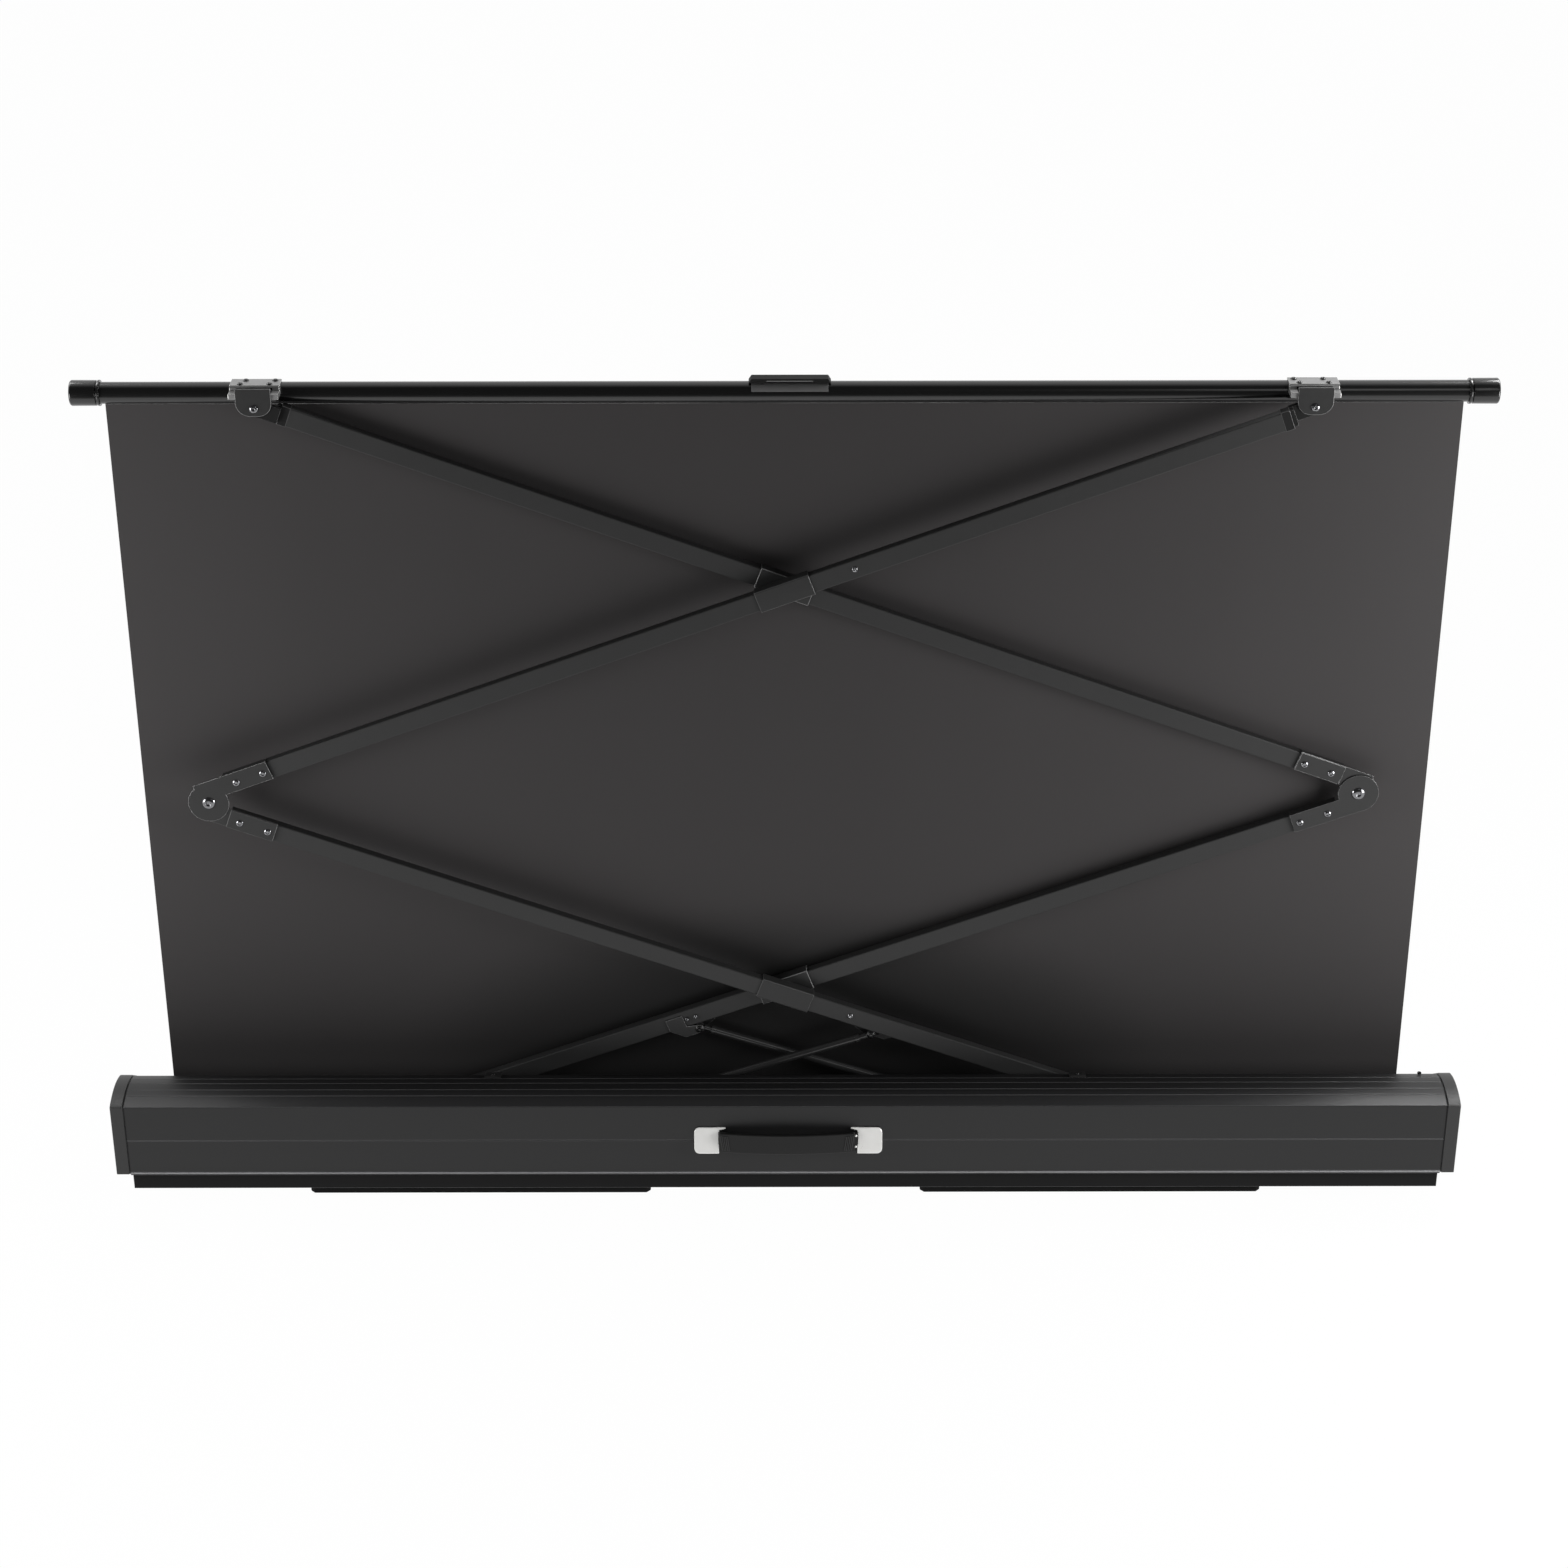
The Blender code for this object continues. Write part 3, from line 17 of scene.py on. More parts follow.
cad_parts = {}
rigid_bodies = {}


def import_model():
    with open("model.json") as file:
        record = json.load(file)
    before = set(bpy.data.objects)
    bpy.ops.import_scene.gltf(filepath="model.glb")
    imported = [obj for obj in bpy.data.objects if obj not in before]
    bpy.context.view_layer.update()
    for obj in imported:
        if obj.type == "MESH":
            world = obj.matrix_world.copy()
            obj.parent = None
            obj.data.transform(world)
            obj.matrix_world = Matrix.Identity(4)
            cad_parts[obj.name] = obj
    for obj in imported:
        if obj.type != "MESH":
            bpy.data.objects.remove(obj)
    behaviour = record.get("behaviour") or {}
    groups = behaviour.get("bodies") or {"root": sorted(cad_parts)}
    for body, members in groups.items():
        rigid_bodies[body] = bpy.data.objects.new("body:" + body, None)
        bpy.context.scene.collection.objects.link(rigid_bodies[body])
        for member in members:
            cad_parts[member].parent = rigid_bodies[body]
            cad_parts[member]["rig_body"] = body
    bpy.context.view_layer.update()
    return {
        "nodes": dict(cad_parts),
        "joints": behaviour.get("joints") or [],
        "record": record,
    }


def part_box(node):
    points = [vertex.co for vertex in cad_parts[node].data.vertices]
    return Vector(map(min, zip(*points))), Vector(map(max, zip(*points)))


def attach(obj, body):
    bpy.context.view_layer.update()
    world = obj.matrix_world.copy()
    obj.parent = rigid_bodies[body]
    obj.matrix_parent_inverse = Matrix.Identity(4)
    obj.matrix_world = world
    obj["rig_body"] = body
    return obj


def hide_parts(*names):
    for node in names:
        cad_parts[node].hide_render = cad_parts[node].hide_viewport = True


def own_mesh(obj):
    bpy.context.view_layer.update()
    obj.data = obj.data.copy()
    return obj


bl_info = {
    "name": "Pull Up Projection Screen",
    "version": (1, 0, 0),
    "blender": (4, 5, 0),
    "location": "View3D > Sidebar > Screen",
    "description": "Dresses a packed pull up projection screen with its pieces and finishes",
    "category": "Object",
}

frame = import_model()
SIDES = {"left": -1, "right": 1}
LAYERS = ("outer", "inner")
LEVELS = ("lower", "upper")

# Joint places of the raised screen
JOINTS = {joint["name"]: joint for joint in frame["joints"]}
SIDE_LEFT = Vector(JOINTS["fold_outer_upper"]["pos_m"])
SIDE_RIGHT = Vector(JOINTS["fold_inner_upper"]["pos_m"])
TOP_RIGHT = Vector(JOINTS["top_bar_level"]["pos_m"])
ARM_RUN = Vector(JOINTS["upper_sleeve_outer_slide"]["axis"])
CLOTH_LOW, CLOTH_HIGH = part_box("screen_cloth")
CLOTH_Y = (CLOTH_LOW.y + CLOTH_HIGH.y) / 2
ROLLER_AXIS = Vector(JOINTS["roller_turn"]["pos_m"])


# Named sizes and colours

class ScreenSizes(PropertyGroup):
    """Sizes that dress the screen."""

    edge: FloatProperty(
        name="Edge softness", description="Width of the rounded edge on sheet metal and mouldings",
        default=0.0006, min=0.0001, max=0.003, unit="LENGTH",
    )
    tube_edge: FloatProperty(
        name="Sleeve edge softness", description="Width of the rounded edge on sleeves and caps",
        default=0.0009, min=0.0001, max=0.003, unit="LENGTH",
    )
    rivet: FloatProperty(
        name="Rivet radius", description="Radius of the rivets through the arm brackets",
        default=0.0053, min=0.001, max=0.01, unit="LENGTH",
    )
    screw: FloatProperty(
        name="Screw radius", description="Radius of the pan heads on the saddles and clevises",
        default=0.0042, min=0.001, max=0.01, unit="LENGTH",
    )
    dome: FloatProperty(
        name="Head height", description="Height of a rivet or screw head above its plate",
        default=0.0022, min=0.0005, max=0.006, unit="LENGTH",
    )
    cloth_ripple: FloatProperty(
        name="Cloth ripple", description="Depth of the slow waves in the hanging cloth",
        default=0.00035, min=0.0, max=0.002, unit="LENGTH",
    )
    image_width: FloatProperty(
        name="Image width", description="Width of the white viewing area",
        default=1.771, min=0.5, max=3.0, unit="LENGTH",
    )
    image_height: FloatProperty(
        name="Image height", description="Height of the white viewing area",
        default=0.996, min=0.3, max=2.0, unit="LENGTH",
    )
    image_border: FloatProperty(
        name="Image border", description="Height of the black border above the viewing area",
        default=0.030, min=0.0, max=0.3, unit="LENGTH",
    )
    ridge_rise: FloatProperty(
        name="Ridge rise", description="Height of the dark line under the top, from the rear cover's foot",
        default=0.117, min=0.0, max=0.2, unit="LENGTH",
    )
    # Sets the height of a painted highlight along the rear cover's foot, standing in for the floor's
    # reflection.
    foot_highlight: FloatProperty(
        name="Bead height", description="Height of the polished bead along the rear cover's foot",
        default=0.0032, min=0.0, max=0.01, unit="LENGTH",
    )
    grip_ribs: IntProperty(
        name="Grip ribs", description="Ribs moulded into each end of the carry grip",
        default=5, min=0, max=12,
    )
    grip_bow: FloatProperty(
        name="Grip bow", description="How far the middle of the carry grip stands out from its ends",
        default=0.007, min=0.0, max=0.03, unit="LENGTH",
    )
    ear_corner: FloatProperty(
        name="Ear corner", description="Radius of the lower corners of the hanging ears",
        default=0.0185, min=0.001, max=0.024, unit="LENGTH",
    )
    grip_gap: FloatProperty(
        name="Grip gap", description="Gap between the carry grip's right end and its cap",
        default=0.0037, min=0.0, max=0.01, unit="LENGTH",
    )
    joint_offset: FloatProperty(
        name="Joint offset", description="Distance from a side joint to its arms' centre lines",
        default=0.016, min=0.0, max=0.05, unit="LENGTH",
    )
    arm_length: FloatProperty(
        name="Arm length", description="Distance along an arm between its side and top pivots",
        default=1.65058, min=0.5, max=3.0, unit="LENGTH",
    )
    arm_width: FloatProperty(
        name="Arm width", description="Width of an arm's broad face",
        default=0.0276, min=0.01, max=0.06, unit="LENGTH",
    )
    arm_depth: FloatProperty(
        name="Arm depth", description="Depth of an arm from back to front",
        default=0.014, min=0.005, max=0.04, unit="LENGTH",
    )
    pad_start: FloatProperty(
        name="Pad start", description="Distance from a side joint from which its brackets are drawn out",
        default=0.035, min=0.0, max=0.08, unit="LENGTH",
    )
    pad_stretch: FloatProperty(
        name="Pad stretch", description="How much longer the brackets' pads are than the packed ones",
        default=1.28, min=1.0, max=2.0,
    )
    boot_start: FloatProperty(
        name="Boot start", description="Distance from the top pivot to the boot on an upper arm",
        default=0.0345, min=0.0, max=0.1, unit="LENGTH",
    )
    boot_length: FloatProperty(
        name="Boot length", description="Length of the boot on an upper arm's end",
        default=0.0125, min=0.001, max=0.05, unit="LENGTH",
    )
    stop_place: FloatProperty(
        name="Stop place", description="Distance right of the middle of the stop screws on the outer arms",
        default=0.0967, min=-0.5, max=0.5, unit="LENGTH",
    )


class ScreenColours(PropertyGroup):
    """Colours of the finishes, as linear light."""

    cover: FloatVectorProperty(
        name="Cover", description="Black coating of the housing covers",
        subtype="COLOR", size=3, default=(0.0095, 0.0095, 0.0098), min=0, max=1,
    )
    arm: FloatVectorProperty(
        name="Arms", description="Dark coating of the arms, sleeves and brackets",
        subtype="COLOR", size=3, default=(0.0195, 0.0195, 0.0195), min=0, max=1,
    )
    cloth: FloatVectorProperty(
        name="Cloth back", description="Black backing of the cloth",
        subtype="COLOR", size=3, default=(0.0285, 0.0262, 0.0265), min=0, max=1,
    )
    image: FloatVectorProperty(
        name="Cloth front", description="White viewing face of the cloth",
        subtype="COLOR", size=3, default=(0.80, 0.80, 0.79), min=0, max=1,
    )
    tube: FloatVectorProperty(
        name="Top tube", description="Gloss black of the top tube",
        subtype="COLOR", size=3, default=(0.006, 0.006, 0.006), min=0, max=1,
    )
    plastic: FloatVectorProperty(
        name="Plastic", description="Black of the moulded caps, feet and grip",
        subtype="COLOR", size=3, default=(0.014, 0.014, 0.014), min=0, max=1,
    )
    nickel: FloatVectorProperty(
        name="Handle ends", description="Plated ends of the carry handle",
        subtype="COLOR", size=3, default=(1.0, 0.99, 0.95), min=0, max=1,
    )


def sizes():
    """Size settings of the scene."""
    return bpy.context.scene.screen_sizes


def colours():
    """Colour settings of the scene."""
    return bpy.context.scene.screen_colours


# Node trees and their maths

class Graph:
    """A node tree under construction, which adds nodes by type."""

    def __init__(self, tree):
        self.tree = tree

    def node(self, kind, settings=None, inputs=None, out=0):
        """Add a node, apply its settings, then feed its sockets, and return one output."""
        made = self.tree.nodes.new(kind)
        for key, value in (settings or {}).items():
            setattr(made, key, value)
        for key, value in (inputs or {}).items():
            self.feed(made.inputs[key], value)
        return Value(self, made.outputs[out])

    def feed(self, socket, value):
        """Link a value or set a constant."""
        if isinstance(value, Value):
            self.tree.links.new(value.socket, socket)
        elif socket.type == "RGBA" and len(value) == 3:
            socket.default_value = (*value, 1.0)
        else:
            socket.default_value = value


class Value:
    """A node output that works in arithmetic."""

    def __init__(self, owner, socket):
        self.owner = owner
        self.socket = socket

    def other(self, name):
        """Another output of the node that gives this value."""
        return Value(self.owner, self.socket.node.outputs[name])

    def math(self, operation, other=None, swapped=False):
        """Math node on this value and another."""
        pair = [self] if other is None else [other, self] if swapped else [self, other]
        return self.owner.node("ShaderNodeMath", {"operation": operation}, dict(enumerate(pair)))

    def __add__(self, other):
        return self.math("ADD", other)

    def __radd__(self, other):
        return self.math("ADD", other, True)

    def __sub__(self, other):
        return self.math("SUBTRACT", other)

    def __rsub__(self, other):
        return self.math("SUBTRACT", other, True)

    def __mul__(self, other):
        return self.math("MULTIPLY", other)

    def __rmul__(self, other):
        return self.math("MULTIPLY", other, True)

    def __pow__(self, other):
        return self.math("POWER", other)

    def __gt__(self, other):
        return self.math("GREATER_THAN", other)

    def __lt__(self, other):
        return self.math("LESS_THAN", other)

    def __abs__(self):
        return self.math("ABSOLUTE")

    def sine(self):
        """Sine of this value."""
        return self.math("SINE")

    def highest(self, other):
        """The larger of this value and another."""
        return self.math("MAXIMUM", other)

    def clamped(self):
        """This value held between 0 and 1."""
        return self.highest(0.0).math("MINIMUM", 1.0)


class Mat(Graph):
    """A material under construction on its Principled BSDF."""

    def __init__(self, name):
        self.material = bpy.data.materials.new(name)
        self.material.use_nodes = True
        super().__init__(self.material.node_tree)
        self.shader = self.tree.nodes["Principled BSDF"]

    def place(self):
        """Object coordinates."""
        return self.node("ShaderNodeTexCoord", out="Object")

    def stretched(self, scale):
        """Object coordinates, scaled."""
        return self.node("ShaderNodeMapping", None, {"Vector": self.place(), "Scale": scale})

    def noise(self, scale, detail=2.0, rough=0.5, place=None):
        """Noise from 0 to 1."""
        feeds = {"Scale": scale, "Detail": detail, "Roughness": rough}
        feeds["Vector"] = self.place() if place is None else place
        return self.node("ShaderNodeTexNoise", None, feeds, "Fac")

    def axis(self, name):
        """One object coordinate as a number."""
        return self.node("ShaderNodeSeparateXYZ", None, {"Vector": self.place()}, name)

    def mix(self, share, first, second):
        """Blend of two colours."""
        factor, one, two, result = 0, 6, 7, 2
        feeds = {factor: share, one: first, two: second}
        return self.node("ShaderNodeMix", {"data_type": "RGBA"}, feeds, result)

    def step(self, value, low, high):
        """Smooth 0 to 1 between two limits."""
        feeds = {"Value": value, "From Min": low, "From Max": high}
        return self.node("ShaderNodeMapRange", {"interpolation_type": "SMOOTHSTEP"}, feeds)

    def bump(self, height, strength, distance):
        """Surface normal raised by a height."""
        feeds = {"Height": height, "Strength": strength, "Distance": distance}
        return self.node("ShaderNodeBump", None, feeds, "Normal")

    def done(self, **sockets):
        """Feed the shader's sockets by name and return the material."""
        for name, value in sockets.items():
            self.feed(self.shader.inputs[name.replace("_", " ")], value)
        return self.material


class Tree(Graph):
    """A Geometry Nodes tree under construction, with named inputs."""

    def __init__(self, name):
        super().__init__(bpy.data.node_groups.new(name, "GeometryNodeTree"))
        for way in ("INPUT", "OUTPUT"):
            self.tree.interface.new_socket("Geometry", in_out=way, socket_type="NodeSocketGeometry")
        self.source = self.node("NodeGroupInput")
        self.end = self.tree.nodes.new("NodeGroupOutput")

    def value(self, name, kind="Float", default=0.0):
        """Named input of the tree."""
        made = self.tree.interface.new_socket(name, in_out="INPUT", socket_type="NodeSocket" + kind)
        made.default_value = default
        return self.source.other(name)

    def finish(self, geometry, look):
        """Realise the instances, set the material, close the tree and return it."""
        real = self.node("GeometryNodeRealizeInstances", None, {"Geometry": geometry})
        done = self.node("GeometryNodeSetMaterial", None, {"Geometry": real, "Material": look})
        self.feed(self.end.inputs[0], done)
        return self.tree


# Finishes

def tinted(colour, factor):
    """Colour scaled by a factor, as a plain tuple."""
    return tuple(min(1.0, channel * factor) for channel in colour)


def coated_metal(name, colour, rough=0.42, grain=900.0, drawn=(1, 1, 1), shine=0.35, marks=None):
    """Satin black coating on drawn aluminium: fine grain, faint draw lines and dust.

    The marks are painted on the cover: a painted highlight along its foot, standing in for the floor's
    reflection, a dark line at the ridge, painted shade in the seams at its ends, and a painted lighter band
    on the slope, standing in for the light it catches.
    """
    mat = Mat(name)
    cloud = mat.noise(3.0, 4.0, 0.6)
    lines = mat.noise(60.0, 3.0, 0.7, mat.stretched(drawn))
    speckle = mat.noise(grain, 1.0, 0.5)
    shade = (cloud * 0.45 + lines * 0.35 + speckle * 0.2).clamped()
    tone = mat.mix(shade, tinted(colour, 0.80), tinted(colour, 1.22))
    dust = mat.step(mat.noise(260.0, 5.0, 0.75), 0.66, 0.80)
    tone = mat.mix(dust * 0.10, tone, (0.20, 0.19, 0.18))
    gloss = cloud * 0.10 + lines * 0.08 + (rough - 0.08)
    if marks:
        height = mat.axis("Z")
        # Painted highlight: a bright band along the foot stands in for the floor's reflection there.
        foot_highlight = (height > marks["foot_highlight"][0]) * (height < marks["foot_highlight"][1])
        ridge = (height > marks["ridge"][0]) * (height < marks["ridge"][1])
        # Painted shade: near-black lines at the ends stand in for the shade in the gaps at the end caps; the
        # dark ridge line takes the same colour.
        seam = (abs(mat.axis("X")) > marks["seam"]).highest(ridge)
        # Painted light: the slope is painted lighter near its rear edge, standing in for the light it
        # catches.
        slope = (height > marks["ridge"][1]) * (1.0 - mat.step(mat.axis("Y"), *marks["slope"]))
        tone = mat.mix(slope, tone, mat.mix(shade, tinted(colour, 1.6), tinted(colour, 2.4)))
        tone = mat.mix(foot_highlight, tone, tinted(colour, 32.0))
        tone = mat.mix(seam, tone, tinted(colour, 0.1))
        gloss = gloss - foot_highlight * 0.12 + seam * 0.3
    normal = mat.bump(speckle * 0.6 + lines * 0.4, 0.16, 0.0003)
    return mat.done(Base_Color=tone, Roughness=gloss, Normal=normal, Specular_IOR_Level=shine)


def moulded_plastic(name, colour, rough=0.48, grain=1400.0, shine=0.4):
    """Black moulded plastic with a fine spark-eroded grain."""
    mat = Mat(name)
    cloud = mat.noise(9.0, 3.0, 0.55)
    grainy = mat.noise(grain, 2.0, 0.6)
    tone = mat.mix(cloud * 0.6 + grainy * 0.4, tinted(colour, 0.75), tinted(colour, 1.35))
    gloss = cloud * 0.12 + grainy * 0.10 + (rough - 0.11)
    normal = mat.bump(grainy, 0.22, 0.0003)
    return mat.done(Base_Color=tone, Roughness=gloss, Normal=normal, Specular_IOR_Level=shine)


def gloss_paint(name, colour, rough=0.16):
    """Gloss black enamel with faint orange peel and fine scratches."""
    mat = Mat(name)
    peel = mat.noise(220.0, 2.0, 0.5)
    scratch = mat.noise(34.0, 6.0, 0.8, mat.stretched((0.15, 3.0, 3.0)))
    marks = mat.step(scratch, 0.62, 0.78)
    tone = mat.mix(marks * 0.35, colour, tinted(colour, 3.0))
    gloss = marks * 0.14 + peel * 0.06 + (rough - 0.03)
    normal = mat.bump(peel, 0.06, 0.0004)
    return mat.done(Base_Color=tone, Roughness=gloss, Normal=normal, Coat_Weight=0.35, Coat_Roughness=0.12)


def saddle_shaded_web():
    """Places that bound the painted shade under a saddle's plate: its middle, half length and top."""
    low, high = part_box("top_saddle_right")
    ear_low, ear_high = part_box("top_ear_right")
    plate = 0.0026
    return (low.x + high.x) / 2, (ear_high.x - ear_low.x) / 2, high.z - plate


def cover_marks():
    """Places that bound the rear cover's marks: the painted highlight along its foot, the dark ridge line,
    the painted shade at the end seams and the painted light on the slope.
    """
    low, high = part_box("rear_cover")
    size = sizes()
    ridge = low.z + size.ridge_rise
    line_low, line_high, seam = 0.0012, 0.0002, 0.0014
    slope_near, slope_far = 0.012, 0.040
    return {
        "foot_highlight": (low.z, low.z + size.foot_highlight),
        "ridge": (ridge - line_low, ridge - line_high),
        "seam": high.x - seam,
        "slope": (low.y + slope_near, low.y + slope_far),
    }


def worn_steel(name, colour, rough=0.34, metal=1.0, shaded_web=None):
    """Satin steel with a brushed grain, darker handling marks and optional painted shade, near-black, under a
    saddle's plate.
    """
    mat = Mat(name)
    brush = mat.noise(90.0, 4.0, 0.7, mat.stretched((0.08, 2.0, 2.0)))
    stain = mat.step(mat.noise(26.0, 5.0, 0.65), 0.42, 0.74)
    tone = mat.mix(brush, tinted(colour, 0.82), tinted(colour, 1.10))
    tone = mat.mix(stain * 0.35, tone, tinted(colour, 0.45))
    gloss = brush * 0.14 + stain * 0.12 + (rough - 0.12)
    if shaded_web:
        # Painted shade: below the saddle's plate, over the ear's length, the steel is painted near-black,
        # standing in for the shade in the recess there.
        along = abs(abs(mat.axis("X")) - shaded_web[0])
        black = (along < shaded_web[1]) * (mat.axis("Z") < shaded_web[2])
        tone = mat.mix(black, tone, (0.004, 0.004, 0.004))
        gloss = gloss + black * 0.4
    normal = mat.bump(brush, 0.10, 0.0002)
    return mat.done(Base_Color=tone, Roughness=gloss, Normal=normal, Metallic=metal)


def plated_ends(name, colour):
    """Bright plated caps of the carry handle, with soft smears."""
    mat = Mat(name)
    smear = mat.noise(38.0, 4.0, 0.6)
    fine = mat.noise(700.0, 2.0, 0.5)
    tone = mat.mix(smear, tinted(colour, 0.88), tinted(colour, 1.04))
    gloss = smear * 0.12 + fine * 0.04 + 0.22
    normal = mat.bump(fine, 0.02, 0.0001)
    return mat.done(Base_Color=tone, Roughness=gloss, Normal=normal, Metallic=0.35, Coat_Weight=0.4)


def soft_rubber(name, colour):
    """Matt black rubber."""
    mat = Mat(name)
    grainy = mat.noise(520.0, 3.0, 0.6)
    cloud = mat.noise(14.0, 3.0, 0.5)
    tone = mat.mix(cloud, tinted(colour, 0.7), tinted(colour, 1.5))
    normal = mat.bump(grainy, 0.35, 0.0004)
    return mat.done(Base_Color=tone, Roughness=grainy * 0.1 + 0.66, Normal=normal, Specular_IOR_Level=0.06)


def weave(mat, pitch):
    """Height of a plain weave on the X and Z coordinates, with its threads' unevenness."""
    across = mat.axis("X")
    down = mat.axis("Z")
    turn = 2 * math.pi / pitch
    waver = mat.noise(140.0, 2.0, 0.5)
    warp = (across * turn + waver * 1.2).sine()
    weft = (down * turn + waver * 1.2).sine()
    return (warp * weft * 0.5 + 0.5, waver)


def cloth_back(name, colour):
    """Black coated backing: a fine weave under a matt coat, with painted shade that darkens it towards the
    bottom and a painted shadow over its lower middle, where the arms, struts and housing shade it.
    """
    mat = Mat(name)
    threads, waver = weave(mat, 0.0011)
    drift = mat.noise(1.6, 4.0, 0.55)
    streak = mat.noise(5.0, 4.0, 0.6, mat.stretched((1.0, 1.0, 0.12)))
    shade = (drift * 0.5 + streak * 0.3 + threads * 0.2).clamped()
    tone = mat.mix(shade, tinted(colour, 0.84), tinted(colour, 1.16))
    height = mat.axis("Z")
    # Painted shade: darker towards the bottom, standing in for the shade from the housing.
    tone = mat.mix(mat.step(height, 0.0, 0.55) * 0.5 + 0.5, (0, 0, 0), tone)
    # Painted shadow: a dark patch over the lower middle, standing in for the shade of the arms, struts and
    # housing.
    shadow_spread = (mat.axis("X") * 2.1) ** 2.0 + ((height - 0.19) * 4.6) ** 2.0
    tone = mat.mix(mat.step(shadow_spread, 0.12, 1.6), tinted(colour, 0.08), tone)
    gloss = drift * 0.08 + threads * 0.05 + 0.56
    normal = mat.bump(threads * 0.8 + waver * 0.2, 0.20, 0.00025)
    return mat.done(
        Base_Color=tone, Roughness=gloss, Normal=normal, Sheen_Weight=0.1, Specular_IOR_Level=0.22,
    )


def cloth_front(name, colour, border, width, low, high):
    """White viewing face inside a black border, on the same fine weave."""
    mat = Mat(name)
    threads, waver = weave(mat, 0.0009)
    across = abs(mat.axis("X"))
    up = mat.axis("Z")
    inside = (across < width / 2) * (up > low) * (up < high)
    white = mat.mix(waver * 0.5 + threads * 0.5, tinted(colour, 0.97), colour)
    black = mat.mix(waver, tinted(border, 0.7), tinted(border, 1.1))
    tone = mat.mix(inside, black, white)
    normal = mat.bump(threads, 0.12, 0.0002)
    return mat.done(Base_Color=tone, Roughness=threads * 0.06 + 0.72, Normal=normal, Specular_IOR_Level=0.3)


FINISHES = {}


def finishes():
    """Every finish by name, made once."""
    if FINISHES:
        return FINISHES
    tint = colours()
    size = sizes()
    top = CLOTH_HIGH.z - size.image_border
    image = (size.image_width, top - size.image_height, top)
    lengthwise = (0.02, 3.0, 3.0)
    FINISHES.update(
        # The cover's finish paints a highlight along its foot, shade at its end seams and light on its slope.
        cover=coated_metal("cover_coating", tint.cover, 0.40, drawn=lengthwise, marks=cover_marks()),
        # Painted highlights: these rim finishes paint rounded edges lighter than the faces they border,
        # standing in for the light that the edges catch.
        groove=coated_metal("groove_edge", tinted(tint.cover, 6.5), 0.34, drawn=lengthwise),
        edge=coated_metal("worn_edge", tinted(tint.arm, 9.0), 0.36, shine=0.6),
        light_edge=coated_metal("bare_edge", tinted(tint.arm, 24.0), 0.36, shine=0.6),
        soft_edge=coated_metal("rubbed_edge", tinted(tint.arm, 3.0), 0.36, shine=0.6),
        bright_edge=worn_steel("bright_edge", (0.50, 0.50, 0.49), 0.28, 0.9),
        chrome=worn_steel("black_nickel", (0.26, 0.26, 0.27), 0.14),
        boot=moulded_plastic("arm_boot", tinted(tint.plastic, 0.55), 0.6, 900.0, 0.15),
        panel=coated_metal("pull_panel", tinted(tint.plastic, 9.0)),
        hem=moulded_plastic("cloth_hem", tinted(tint.plastic, 0.2), 0.7),
        rail=coated_metal("rail_coating", tinted(tint.cover, 0.66), 0.58, 700.0, lengthwise, 0.10),
        arm=coated_metal("arm_coating", tint.arm, 0.46, 1000.0),
        bracket=coated_metal("bracket_coating", tinted(tint.arm, 1.02), 0.40, 1100.0),
        plastic=moulded_plastic("black_moulding", tint.plastic),
        cap=moulded_plastic("end_cap_moulding", tinted(tint.plastic, 1.1), 0.44),
        grip=moulded_plastic("grip_moulding", tinted(tint.plastic, 0.45), 0.40, 900.0, 0.25),
        tube=gloss_paint("tube_enamel", tint.tube, 0.22),
        strut=coated_metal("strut_coating", tinted(tint.arm, 0.9), 0.19, shine=0.8),
        bolt=gloss_paint("bolt_black", tinted(tint.tube, 1.2), 0.10),
        steel=worn_steel("bright_steel", (0.62, 0.62, 0.61), 0.26),
        # The saddle's finish paints near-black shade under its plate.
        saddle=worn_steel("satin_saddle", (0.34, 0.34, 0.34), 0.36, 0.6, saddle_shaded_web()),
        nickel=plated_ends("handle_plating", tint.nickel),
        rubber=soft_rubber("foot_rubber", tinted(tint.plastic, 0.42)),
        # The backing's finish paints shade low down and a shadow over its lower middle.
        back=cloth_back("cloth_backing", tint.cloth),
        front=cloth_front("cloth_viewing_face", tint.image, tinted(tint.plastic, 0.6), *image),
    )
    return FINISHES


# Meshes

def meshed(bm, name):
    """Mesh of a bmesh, which is freed."""
    mesh = bpy.data.meshes.new(name)
    bm.to_mesh(mesh)
    bm.free()
    return mesh


def link(name, mesh, look, body=None, nodes=()):
    """Object of a finished mesh with its finish, riding a body and standing for nodes."""
    made = bpy.data.objects.new(name, mesh)
    bpy.context.scene.collection.objects.link(made)
    looks = look if isinstance(look, list) else [look]
    for item in looks[len(mesh.materials):]:
        mesh.materials.append(item)
    if body:
        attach(made, body)
    if nodes:
        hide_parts(*nodes)
    return made


def body_of(node):
    """Name of the body that a node belongs to."""
    return frame["nodes"][node]["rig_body"]


def slot_of(node):
    """Material slot of a node in the record."""
    for part in frame["record"]["subparts"]:
        if part["node"] == node:
            return part["material_slot"]
    raise KeyError(node)


def end_of(node, way):
    """X of the left or right end of a node's box."""
    low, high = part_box(node)
    return high.x if way > 0 else low.x


def shaded(mesh, angle=40.0):
    """Smooth faces, kept sharp over an angle."""
    mesh.shade_smooth()
    mesh.set_sharp_from_angle(angle=math.radians(angle))
    return mesh


